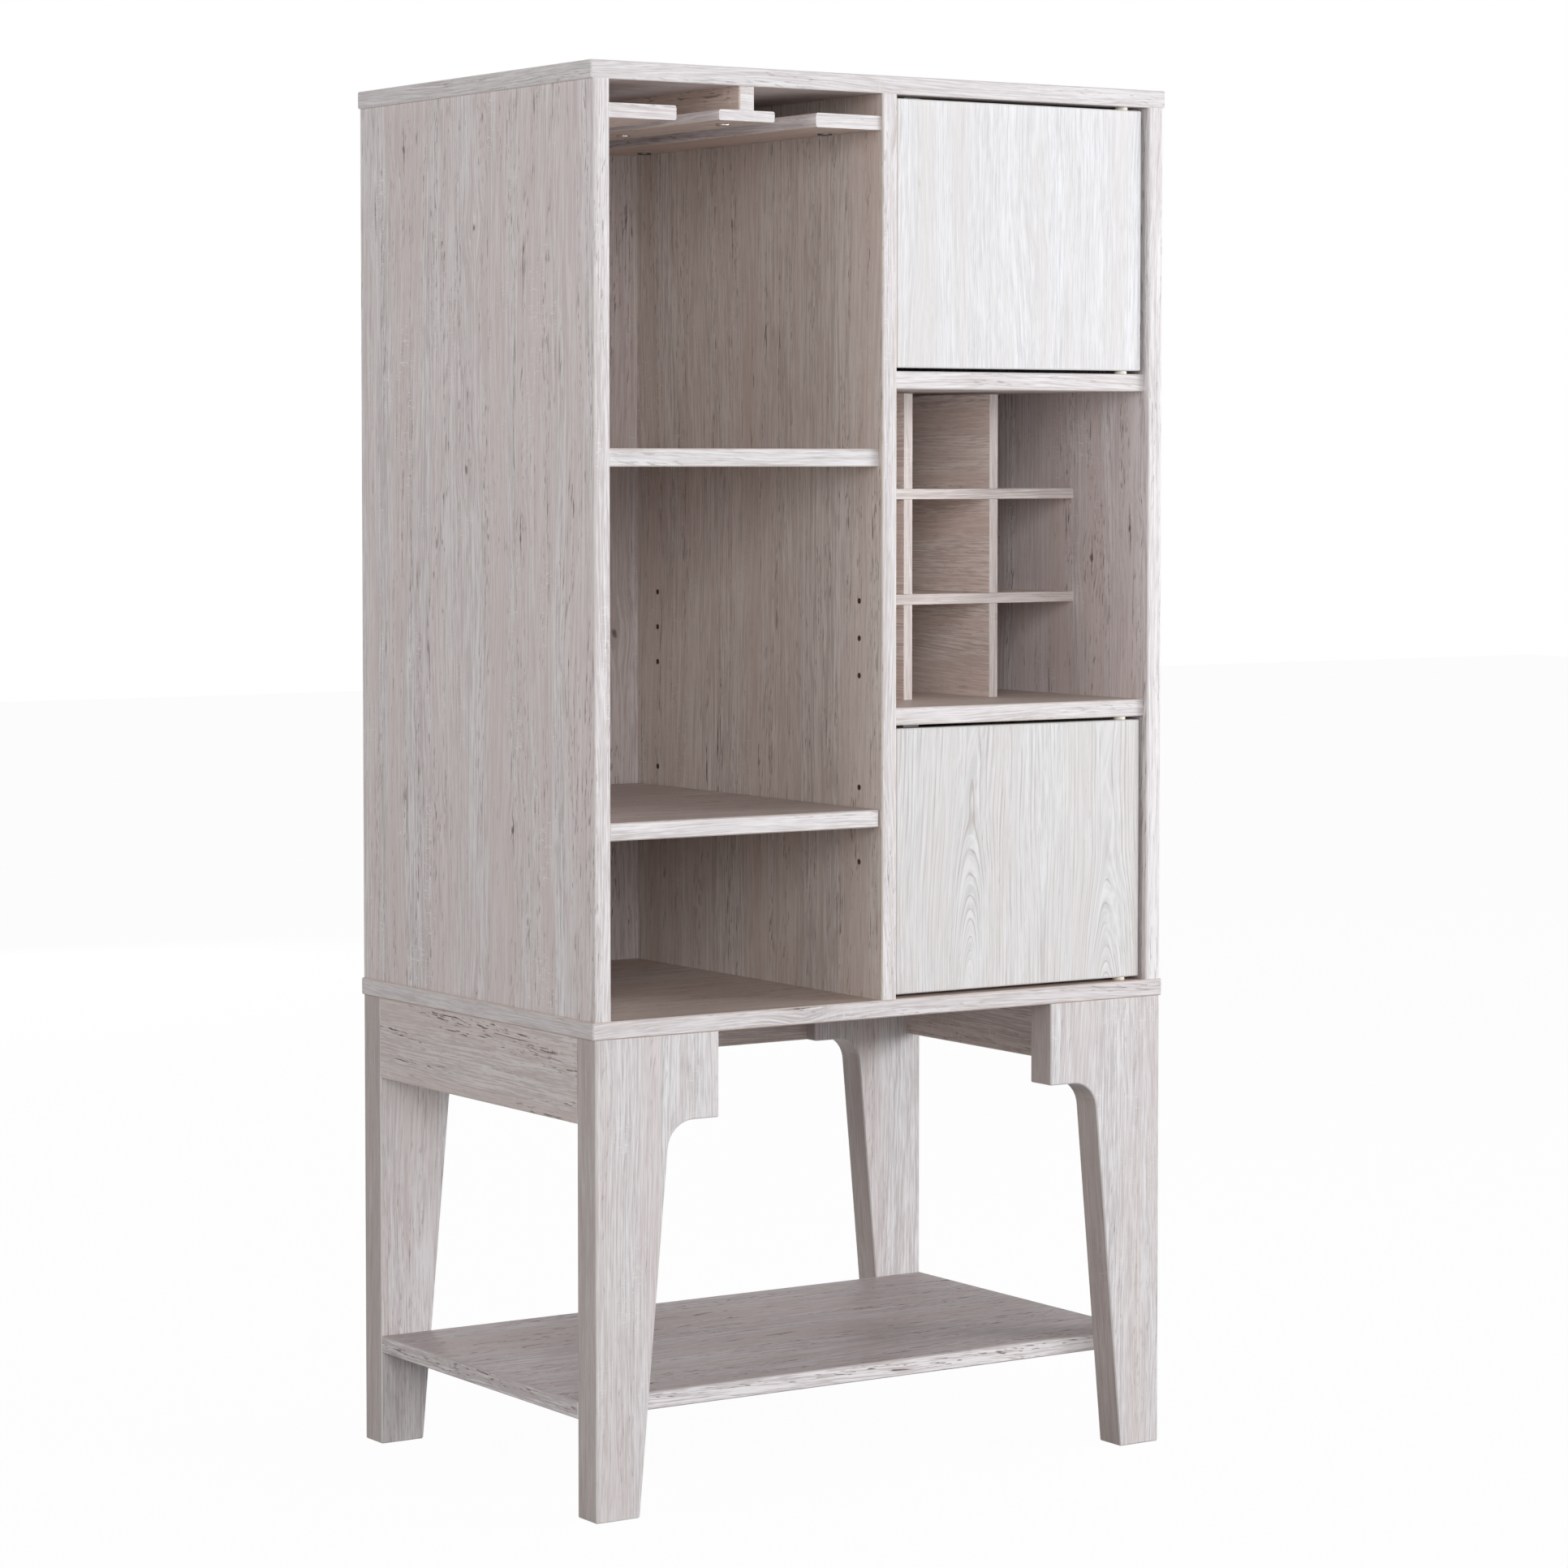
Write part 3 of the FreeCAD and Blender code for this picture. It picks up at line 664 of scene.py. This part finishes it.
def set_out(master, name, places):
    """Copies of a master at each place, joined in one piece, whose own master is removed."""
    copies = []
    for place in places:
        twin = master.copy()
        twin.data = master.data.copy()
        bpy.context.collection.objects.link(twin)
        twin.matrix_world = place
        copies.append(twin)
    bpy.data.objects.remove(master)
    only(*copies)
    bpy.ops.object.join()
    piece = bpy.context.object
    bpy.ops.object.transform_apply(location=True, rotation=True, scale=True)
    piece.name = name
    piece.data.name = name
    return piece


def standing(point, way):
    """Place whose Z axis points a way, for set_out."""
    return Matrix.Translation(point) @ way.to_track_quat("Z", "X").to_matrix().to_4x4()


def coat(piece, material):
    """Makes a material the only one of a piece."""
    piece.data.materials.clear()
    piece.data.materials.append(material)


def dress(piece, material, body, slot, *nodes):
    """Gives a new piece its finish and its body, and hides the CAD nodes it stands for; the slot is
    not used.
    """
    coat(piece, material)
    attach(piece, body)
    if nodes:
        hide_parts(*nodes)


def loose_parts(node):
    """(lowest, highest) corner of each separate solid in a CAD node."""
    mesh = bmesh.new()
    mesh.from_mesh(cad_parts[node].data)
    bmesh.ops.remove_doubles(mesh, verts=mesh.verts, dist=SAME)
    todo = set(mesh.verts)
    parts = []
    while todo:
        stack = [todo.pop()]
        found = list(stack)
        while stack:
            for edge in stack.pop().link_edges:
                for vert in edge.verts:
                    if vert in todo:
                        todo.remove(vert)
                        stack.append(vert)
                        found.append(vert)
        corners = [vert.co.copy() for vert in found]
        parts.append((Vector(map(min, *corners)), Vector(map(max, *corners))))
    mesh.free()
    return sorted(parts, key=lambda part: tuple(round(c, 5) for c in part[0]))


def flush_faces(node, boards):
    """Where each solid of a node lies flush with its board: (middle of that face, way out)."""
    boxes = [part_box(board) for board in boards]
    places = []
    for low, high in loose_parts(node):
        size = high - low
        axis = min(range(3), key=lambda k: size[k])
        middle = (low + high) / 2
        for board_low, board_high in boxes:
            if any(not board_low[k] <= middle[k] <= board_high[k] for k in range(3)):
                continue
            for level, edge, sign in ((high[axis], board_high[axis], 1),
                                      (low[axis], board_low[axis], -1)):
                if abs(level - edge) < TOUCHING:
                    point, way = middle.copy(), Vector((0, 0, 0))
                    point[axis], way[axis] = level, sign
                    places.append((point, way))
    return places


def merged_copy(node):
    """Copy of a CAD node with joined triangles, so that its round faces can be shaded smooth."""
    twin = bpy.data.objects.new(node + "_smooth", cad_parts[node].data.copy())
    bpy.context.collection.objects.link(twin)
    only(twin)
    bpy.ops.object.mode_set(mode="EDIT")
    bpy.ops.mesh.select_all(action="SELECT")
    bpy.ops.mesh.remove_doubles(threshold=SAME)
    leave_edit()
    bpy.ops.mesh.customdata_custom_splitnormals_clear()
    smooth(twin)
    return twin


# Boards

# The grain's way on X, Y and Z faces, then the way of the board's thickness

SIDE = (Z, Z, Y, X)
PANEL = (Z, Z, X, Y)
LEVEL = (Y, X, X, Z)
SLAT = (Y, X, Y, Z)
BATTEN = (Y, X, Y, X)
SIDE_APRON = (Y, Z, Y, X)
REAR_APRON = (Z, X, X, Y)
LATTICE_UPRIGHT = (Y, Z, Y, X)
LATTICE_RAIL = (Y, X, Y, Z)

# Painted shade and painted light: the shares of red, green and blue that a board keeps, darker and
# warmer where shade falls inside and under the cabinet, lighter on the lattice

# Painted shade for boards deep inside and under the cabinet
DEEP_SHADE = {"face_cast": (0.84, 0.77, 0.71), "shine": 0.18}
# Painted shade, lighter and warm, for shelves and aprons in the cabinet's shade
WARM_SHADE = {"face_cast": (0.95, 0.90, 0.85)}
# Painted light: the lattice faces are lightened and their edges warmed, standing in for light that
# reaches into the recess; its fewer pores are print
LATTICE = {"face_cast": (1.11, 1.05, 0.99), "edge_cast": (0.98, 0.94, 0.90), "pores": 0.5}
# Painted warm shade: the rack is tinted warmer, standing in for warm light bounced round the bay
RACK = {"face_cast": (1.0, 0.92, 0.83)}

# Layout and what differs from the plain print, with the painted shade and painted light of each
# board's casts; the order gives each board's grain its seed

BOARDS = {
    "left_side_panel": (SIDE, {"knots": 0.6, "fibres": 1.2}),
    # The casts in this table are painted shade: boards inside and under the cabinet, the low left
    # apron and the front edges are darkened where less light reaches them
    "centre_divider": (SIDE, {"knots": 0.5, "face_cast": (0.93, 0.90, 0.84)}),
    "right_side_panel": (SIDE, {"knots": 0.5, "flecks": 1.3}),
    "back_panel": (PANEL, {"knots": 0.5, "face_cast": (0.96, 0.95, 0.93)}),
    "top_panel": (LEVEL, {"edge_cast": (0.94, 0.94, 0.94)}),
    "base_panel": (LEVEL, {**DEEP_SHADE, "edge_cast": (0.91, 0.90, 0.90)}),
    "left_fixed_shelf": (LEVEL, {**WARM_SHADE, "edge_cast": (0.92, 0.92, 0.92)}),
    "adjustable_shelf": (LEVEL, {"face_cast": (0.78, 0.73, 0.69), "streaks": 1.6}),
    "right_lower_shelf": (LEVEL, {**WARM_SHADE, "edge_cast": (0.97, 0.97, 0.97)}),
    "right_upper_shelf": (LEVEL, {}),
    "low_shelf": (LEVEL, {**DEEP_SHADE, "face_cast": (0.71, 0.67, 0.68), "streaks": 2.0,
                          "fibres": 2.2, "pores": 1.8}),
    "rack_left_slat": (SLAT, RACK),
    "rack_middle_slat": (SLAT, RACK),
    "rack_right_slat": (SLAT, RACK),
    "rack_batten": (BATTEN, RACK),
    "left_apron": (SIDE_APRON, {"face_cast": (0.92, 0.91, 0.89), "streaks": 1.6,
                                "fibres": 2.0, "pores": 1.6}),
    "right_apron": (SIDE_APRON, {**WARM_SHADE, "streaks": 1.6}),
    "rear_apron": (REAR_APRON, {**WARM_SHADE, "streaks": 1.6}),
    "lattice_upright_left": (LATTICE_UPRIGHT, LATTICE),
    "lattice_upright_right": (LATTICE_UPRIGHT, LATTICE),
    "lattice_rail_lower": (LATTICE_RAIL, LATTICE),
    "lattice_rail_upper": (LATTICE_RAIL, LATTICE),
}

# Painted shade on the legs: their fronts a little darker and their sides much darker, where less
# light reaches near the floor
LEG_LOOK = {"plank_contrast": 0.15, "warmth": -0.2, "fibres": 0.7, "pores": 0.5,
            "face_cast": (0.92, 0.93, 0.93), "edge_cast": (0.69, 0.64, 0.61)}
DOOR_LOOK = {"flecks": 0.2, "knots": 0.0, "plank_contrast": 0.0, "plank_width": 0.6}
STRAIGHT_LOOK = {**DOOR_LOOK, "streaks": 0.6, "fibres": 0.6, "pores": 0.2}
# The lower door's cast darkens it slightly as painted shade, for the weaker light near the floor
CATHEDRAL_LOOK = {**DOOR_LOOK, "streaks": 0.5, "fibres": 0.8, "pores": 0.25, "rings": 0.9,
                  "face_cast": (0.93, 0.93, 0.92)}
LEGS = ("front_left_leg", "front_right_leg", "rear_left_leg", "rear_right_leg")
FIRST_BOARD_SEED, FIRST_LEG_SEED = 1, 23


def raw_where(node, chosen, raw):
    """Gives the faces that chosen(centre, normal) picks a raw inner material."""
    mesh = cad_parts[node].data
    mesh.materials.append(raw)
    index = len(mesh.materials) - 1
    for face in mesh.polygons:
        if chosen(face.center, face.normal):
            face.material_index = index


class CABINET_OT_boards(bpy.types.Operator):
    """Give every plain board its printed oak with its painted shade and light, with raw chipboard
    inside drilled holes
    """
    bl_idname = "cabinet.boards"
    bl_label = "Boards"

    def execute(self, context):
        for seed, (node, (layout, values)) in enumerate(BOARDS.items(), FIRST_BOARD_SEED):
            coat(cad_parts[node], oak(node, seed, layout, **values))
        inside, front_band = 0.3 * MM, 2 * MM
        for node in ("left_side_panel", "centre_divider"):
            low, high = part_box(node)
            raw_where(node,
                      lambda c, n: abs(n.x) < 0.5 and low.x + inside < c.x < high.x - inside
                      and low.y + front_band < c.y < high.y - inside, fitting("Raw chipboard"))
        raw_where("back_panel", lambda c, n: n.y > 0.5, fitting("Raw hardboard"))
        return {"FINISHED"}


class CABINET_OT_doors(bpy.types.Operator):
    """Give the doors their paler print: straight grain above, a cathedral figure below"""
    bl_idname = "cabinet.doors"
    bl_label = "Doors"

    def execute(self, context):
        low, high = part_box("lower_door_panel")
        slope = 0.13
        nearest = 0.002
        tip_share = 0.6
        hearts = [(-(low.x + share * (high.x - low.x)), level - slope * low.z, slope)
                  for share, level in ((0.30, nearest), (0.87, 0.006))]
        figure = {"heart": hearts[0], "second_heart": hearts[1],
                  "lean_limit": nearest + slope * tip_share * (high.z - low.z)}
        for seed, node, values in ((31, "upper_door_panel", STRAIGHT_LOOK),
                                   (32, "lower_door_panel", {**CATHEDRAL_LOOK, **figure})):
            coat(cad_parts[node], oak(node, seed, PANEL, "door", **values))
        return {"FINISHED"}


class CABINET_OT_legs(bpy.types.Operator):
    """Shade the round knees of the legs smooth and give the legs their oak"""
    bl_idname = "cabinet.legs"
    bl_label = "Legs"

    def execute(self, context):
        for seed, node in enumerate(LEGS, FIRST_LEG_SEED):
            dress(merged_copy(node), oak(node, seed, PANEL, **LEG_LOOK), BODY, "whitewashed_oak",
                  node)
        return {"FINISHED"}


CAM_BOARDS = ["left_side_panel", "centre_divider", "right_side_panel", "left_fixed_shelf",
              "right_lower_shelf", "right_upper_shelf", *LEGS]


def cam_master(radius, depth, hardware):
    """Cast cam with a rounded rim, a sunk ring and a cross, its face at height 0."""
    rim, ring, cross = radius * 0.14, radius * 0.08, radius * 1.25
    ring_depth = 0.25 * MM
    cam = round_blank(radius, depth)
    edit_faces(cam, upward)
    bpy.ops.mesh.inset(thickness=rim, depth=0.0)
    bpy.ops.mesh.inset(thickness=ring, depth=-ring_depth)
    leave_edit()
    soften(cam, 0.3 * MM)
    cut_cross(cam, depth - ring_depth, cross, hardware.cross_width, hardware.cross_depth)
    lower(cam, depth)
    smooth(cam)
    return cam


class CABINET_OT_cams(bpy.types.Operator):
    """Model the cam locks in the boards and in the rack's side slats"""
    bl_idname = "cabinet.cams"
    bl_label = "Cam locks"

    def execute(self, context):
        hardware = settings("hardware")
        turn = 0.7
        for node, boards, radius, depth, lift in (
                ("cam_locks", CAM_BOARDS, hardware.cam_radius, 12.5 * MM, -hardware.sunk),
                ("rack_cams", ["rack_left_slat", "rack_right_slat"], hardware.rack_cam_radius,
                 9.0 * MM, hardware.rack_proud)):
            places = flush_faces(node, boards)
            if len(places) != len(loose_parts(node)):
                raise RuntimeError(f"{node}: {len(places)} faces found")
            turned = [standing(point + way * lift, way) @ Matrix.Rotation(turn * n, 4, "Z")
                      for n, (point, way) in enumerate(places)]
            piece = set_out(cam_master(radius, depth, hardware), node + "_cast", turned)
            dress(piece, fitting("Cast zinc"), BODY, "cast_zinc", node)
        for node in ("cam_bolts", "rack_cam_bolts"):
            coat(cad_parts[node], fitting("Nickel plate"))
        return {"FINISHED"}


class CABINET_OT_rack_bolts(bpy.types.Operator):
    """Model the bright domed bolts under the middle slat"""
    bl_idname = "cabinet.rack_bolts"
    bl_label = "Rack bolts"

    def execute(self, context):
        hardware = settings("hardware")
        shank_radius = 2.0 * MM
        turn = 0.5
        parts = loose_parts("rack_bolts")
        low, high = parts[0]
        radius = (high.x - low.x) / 2
        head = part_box("rack_middle_slat")[0].z - low.z
        bolt = headed_pin(radius, head, shank_radius, high.z - low.z - head)
        leave_edit()
        soften(bolt, 0.45 * MM, 3)
        cut_cross(bolt, head, radius * 1.15, hardware.cross_width, hardware.cross_depth)
        lower(bolt, head)
        smooth(bolt)
        places = [standing(Vector(((lo.x + hi.x) / 2, (lo.y + hi.y) / 2, lo.z)), -Z)
                  @ Matrix.Rotation(turn * n, 4, "Z") for n, (lo, hi) in enumerate(parts)]
        piece = set_out(bolt, "rack_bolts_domed", places)
        dress(piece, fitting("Nickel plate"), BODY, "nickel_plated_steel", "rack_bolts")
        return {"FINISHED"}


class CABINET_OT_pivots(bpy.types.Operator):
    """Model the flanged bushes and shade the door pins smooth"""
    bl_idname = "cabinet.pivots"
    bl_label = "Door pivots"

    def execute(self, context):
        parts = loose_parts("pivot_bushes")
        middles = [sum(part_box(door), Vector()).z / 2
                   for door in ("lower_door_panel", "upper_door_panel")]
        places = []
        for low, high in parts:
            middle = (low + high) / 2
            way = Z if min(middles, key=lambda z: abs(z - middle.z)) > middle.z else -Z
            face = high.z if way is Z else low.z
            places.append(standing(Vector((middle.x, middle.y, face)), way))
        piece = set_out(self.bush(*parts[0]), "pivot_bushes_round", places)
        dress(piece, fitting("Nylon"), BODY, "natural_nylon", "pivot_bushes")
        for name in ("upper", "lower"):
            node = name + "_door_pivot_pins"
            dress(merged_copy(node), fitting("Nickel plate"), name + "_door",
                  "nickel_plated_steel", node)
        return {"FINISHED"}

    def bush(self, low, high):
        """Flanged bush that points down from height 0, as large as the lowest CAD bush."""
        shank_radius, bore_radius, overlap = 4.0 * MM, 2.55 * MM, MM
        length = high.z - low.z
        flange = min(abs(high.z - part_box("base_panel")[1].z), length)
        bush = round_blank((high.x - low.x) / 2, flange)
        shank = round_blank(shank_radius, length - flange + overlap)
        lower(shank, length - flange)
        cut(bush, shank, "UNION")
        bore = round_blank(bore_radius, 2 * length)
        lower(bore, length)
        cut(bush, bore)
        soften(bush, 0.35 * MM)
        lower(bush, flange)
        smooth(bush)
        return bush


class CABINET_OT_latches(bpy.types.Operator):
    """Finish the push latches and strike plates and model their screws"""
    bl_idname = "cabinet.latches"
    bl_label = "Push latches"

    def execute(self, context):
        for name in ("upper", "lower"):
            housing = name + "_latch_housing"
            plunger = name + "_latch_plunger"
            plate = name + "_strike_plate"
            dress(merged_copy(housing), fitting("Pale moulding"), BODY, "grey_moulding", housing)
            dress(merged_copy(plunger), fitting("Black moulding"), name + "_latch",
                  "black_moulding", plunger)
            coat(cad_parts[plate], fitting("Nickel plate"))
            low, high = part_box(housing)
            flange = Vector((0, (low.y + high.y) / 2, high.z - 2.5 * MM))
            self.screws(name + "_latch_screws", BODY, 1.6 * MM, flange, -Z,
                        (low.x + 5.0 * MM, high.x - 5.0 * MM))
            low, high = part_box(plate)
            face = Vector((0, high.y, (low.z + high.z) / 2))
            self.screws(name + "_strike_screws", name + "_door", 0.2 * MM, face, Y,
                        (low.x + 4.0 * MM, high.x - 4.0 * MM))
        return {"FINISHED"}

    def screws(self, name, body, height, point, way, across):
        """Screws whose heads stand that high on the face through a point, one at each x."""
        radius = settings("hardware").screw_radius
        shank, slot_width = 0.8 * MM, 0.8 * MM
        screw = headed_pin(radius, height, radius * 0.5, shank, 24)
        leave_edit()
        soften(screw, height * 0.4)
        cut_cross(screw, height, radius * 1.2, slot_width, height * 0.7)
        smooth(screw)
        piece = set_out(screw, name, [standing(Vector((x, point.y, point.z)), way) for x in across])
        dress(piece, fitting("Nickel plate"), body, "nickel_plated_steel")


class CABINET_OT_shelf_pins(bpy.types.Operator):
    """Shade the shelf pins smooth and finish the hidden dowels"""
    bl_idname = "cabinet.shelf_pins"
    bl_label = "Shelf pins"

    def execute(self, context):
        dress(merged_copy("shelf_pins"), fitting("Nickel plate"), BODY, "nickel_plated_steel",
              "shelf_pins")
        coat(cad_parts["wooden_dowels"], fitting("Beech"))
        return {"FINISHED"}


class CABINET_OT_nails(bpy.types.Operator):
    """Nail the back panel to the sides, to the divider and to the fixed shelves"""
    bl_idname = "cabinet.nails"
    bl_label = "Back nails"

    def execute(self, context):
        hardware = settings("hardware")
        low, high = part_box("back_panel")
        left, right = low.x + hardware.nail_inset, high.x - hardware.nail_inset
        bottom, top = low.z + hardware.nail_inset, high.z - hardware.nail_inset
        runs = [((x, bottom), (x, top)) for x in (left, 0.0, right)]
        for shelf in ("left_fixed_shelf", "right_lower_shelf", "right_upper_shelf"):
            shelf_low, shelf_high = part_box(shelf)
            level = (shelf_low.z + shelf_high.z) / 2
            runs.append(((shelf_low.x, level), (shelf_high.x, level)))
        places = []
        for start, end in runs:
            spaces = math.ceil(math.dist(start, end) / hardware.nail_pitch)
            ends = 0 if start[0] == end[0] else 1
            for n in range(ends, spaces + 1 - ends):
                x, z = [a + (b - a) * n / spaces for a, b in zip(start, end)]
                places.append(standing(Vector((x, high.y, z)), Y))
        piece = set_out(self.nail(hardware.nail_radius), "back_nails", places)
        dress(piece, fitting("Nickel plate"), BODY, "nickel_plated_steel")
        return {"FINISHED"}

    def nail(self, radius):
        """Flat-headed nail that points down, the underside of its head at height 0."""
        head, shank_radius, shank, point, crown = 0.4 * MM, 0.8 * MM, 14 * MM, 2 * MM, 0.08 * MM
        nail = headed_pin(radius, head, shank_radius, shank, 20)
        pull_down(point)
        bpy.ops.mesh.merge(type="CENTER")
        leave_edit()
        edit_faces(nail, upward)
        bpy.ops.mesh.inset(thickness=radius * 0.25, depth=0.0)
        bpy.ops.transform.translate(value=(0, 0, crown))
        leave_edit()
        smooth(nail, 30.0)
        return nail


# Where each soft box stands; all of them face AIM

LAMPS = {"Right": (3.2, -2.3, 1.2), "Front": (2.2, -3.4, 1.4), "Low": (1.2, -4.0, 0.9),
         "Left": (-2.0, -3.4, 1.6), "Side": (-4.0, -0.8, 1.8), "Rear": (-2.5, 3.0, 1.5),
         "Back": (0.8, 4.2, 1.0), "Top": (0.0, 0.6, 3.4)}
AIM = Vector((0, 0, 0.7))
LAMP_SIZE = 1.6


class CABINET_OT_stage(bpy.types.Operator):
    """Set up the camera, the lamps and a pale floor"""
    bl_idname = "cabinet.stage"
    bl_label = "Stage"

    def execute(self, context):
        stage = settings("stage")
        self.camera(context)
        self.lamps(context, stage)
        self.surroundings(context, stage)
        self.floor(context, stage)
        context.scene.view_settings.view_transform = "Standard"
        return {"FINISHED"}

    def camera(self, context):
        """The photograph's viewpoint, from its frame of 1932 by 1932 pixels."""
        frame_pixels = 1932
        focal_pixels = 5620.0
        horizon_pixel = 849.7
        tilt, turn = 0.05, 0.5835
        data = bpy.data.cameras.new("Camera")
        data.sensor_width = 36.0
        data.lens = data.sensor_width * focal_pixels / frame_pixels
        data.shift_y = (horizon_pixel - frame_pixels / 2) / frame_pixels
        data.clip_start, data.clip_end = 0.1, 100.0
        camera = bpy.data.objects.new("Camera", data)
        camera.location = (-2.2113, -3.3864, 0.8743)
        camera.rotation_euler = (math.pi / 2 - tilt, 0.0, -turn)
        context.collection.objects.link(camera)
        context.scene.camera = camera

    def lamps(self, context, stage):
        """Soft boxes: the strongest at the front right and left, weak ones on the other sides."""
        for name, place in LAMPS.items():
            data = bpy.data.lights.new(name, "AREA")
            data.energy = getattr(stage, name.lower() + "_power")
            data.color = stage.key_color if place[0] > 0 else stage.fill_color
            data.size = LAMP_SIZE
            lamp = bpy.data.objects.new(name, data)
            lamp.location = place
            lamp.rotation_euler = (AIM - Vector(place)).to_track_quat("-Z", "Y").to_euler()
            context.collection.objects.link(lamp)

    def surroundings(self, context, stage):
        """White to the camera and in reflections; Ambient says how much they light the object."""
        world = bpy.data.worlds.new("Surroundings")
        world.use_nodes = True
        graph = Graph(world.node_tree)
        background = world.node_tree.nodes["Background"]
        strength = graph.maths("ADD", graph.maths("MULTIPLY", graph.seen(), 1.0 - stage.ambient),
                               stage.ambient)
        graph.plug(background.inputs["Strength"], strength)
        background.inputs["Color"].default_value = (1.0, 1.0, 1.0, 1.0)
        context.scene.world = world

    def floor(self, context, stage):
        """White floor that keeps a faint shadow and throws little light back."""
        gap = 0.2 * MM
        glow_share = 0.97
        bounce, shown = (0.5, 0.5, 0.5, 1.0), (0.95, 0.95, 0.95, 1.0)
        bpy.ops.object.select_all(action="DESELECT")
        bpy.ops.mesh.primitive_plane_add(size=stage.floor_size, location=(0, 0, -gap))
        floor = context.object
        floor.name = "Floor"
        material, graph, shader = new_material("White floor", (0.9, 0.9, 0.9))
        shader.inputs["Roughness"].default_value = 0.9
        seen = graph.seen()
        graph.plug(shader.inputs["Base Color"], graph.blend(seen, bounce, shown))
        mix = graph.add("ShaderNodeMixShader")
        graph.plug(mix.inputs[0], graph.maths("MULTIPLY", seen, glow_share))
        graph.plug(mix.inputs[1], shader.outputs[0])
        graph.plug(mix.inputs[2], graph.add("ShaderNodeEmission").outputs[0])
        output = material.node_tree.nodes["Material Output"]
        graph.plug(output.inputs["Surface"], mix.outputs[0])
        floor.data.materials.append(material)


OPERATORS = (CABINET_OT_boards, CABINET_OT_doors, CABINET_OT_legs, CABINET_OT_cams,
             CABINET_OT_rack_bolts, CABINET_OT_pivots, CABINET_OT_latches, CABINET_OT_shelf_pins,
             CABINET_OT_nails, CABINET_OT_stage)

GROUPS = {"oak": CABINET_PG_oak, "door": CABINET_PG_door, "hardware": CABINET_PG_hardware,
          "stage": CABINET_PG_stage}


class CABINET_PT_sidebar(bpy.types.Panel):
    """Lists the cabinet's steps and the sizes and colours that they use."""
    bl_idname = "CABINET_PT_sidebar"
    bl_label = "Wine cabinet"
    bl_space_type = "VIEW_3D"
    bl_region_type = "UI"
    bl_category = "Cabinet"

    def draw(self, context):
        for operator in OPERATORS:
            self.layout.operator(operator.bl_idname)
        for name, group in GROUPS.items():
            box = self.layout.box()
            for value in group.__annotations__:
                box.prop(settings(name), value)


def register():
    for kind in (*GROUPS.values(), *OPERATORS, CABINET_PT_sidebar):
        bpy.utils.register_class(kind)
    for name, group in GROUPS.items():
        setattr(bpy.types.Scene, "cabinet_" + name, bpy.props.PointerProperty(type=group))


def unregister():
    for name in GROUPS:
        delattr(bpy.types.Scene, "cabinet_" + name)
    for kind in reversed((*GROUPS.values(), *OPERATORS, CABINET_PT_sidebar)):
        bpy.utils.unregister_class(kind)


def main():
    register()
    bpy.ops.cabinet.boards()
    bpy.ops.cabinet.doors()
    bpy.ops.cabinet.legs()
    bpy.ops.cabinet.cams()
    bpy.ops.cabinet.rack_bolts()
    bpy.ops.cabinet.pivots()
    bpy.ops.cabinet.latches()
    bpy.ops.cabinet.shelf_pins()
    bpy.ops.cabinet.nails()
    bpy.ops.cabinet.stage()


if __name__ == "__main__":
    main()
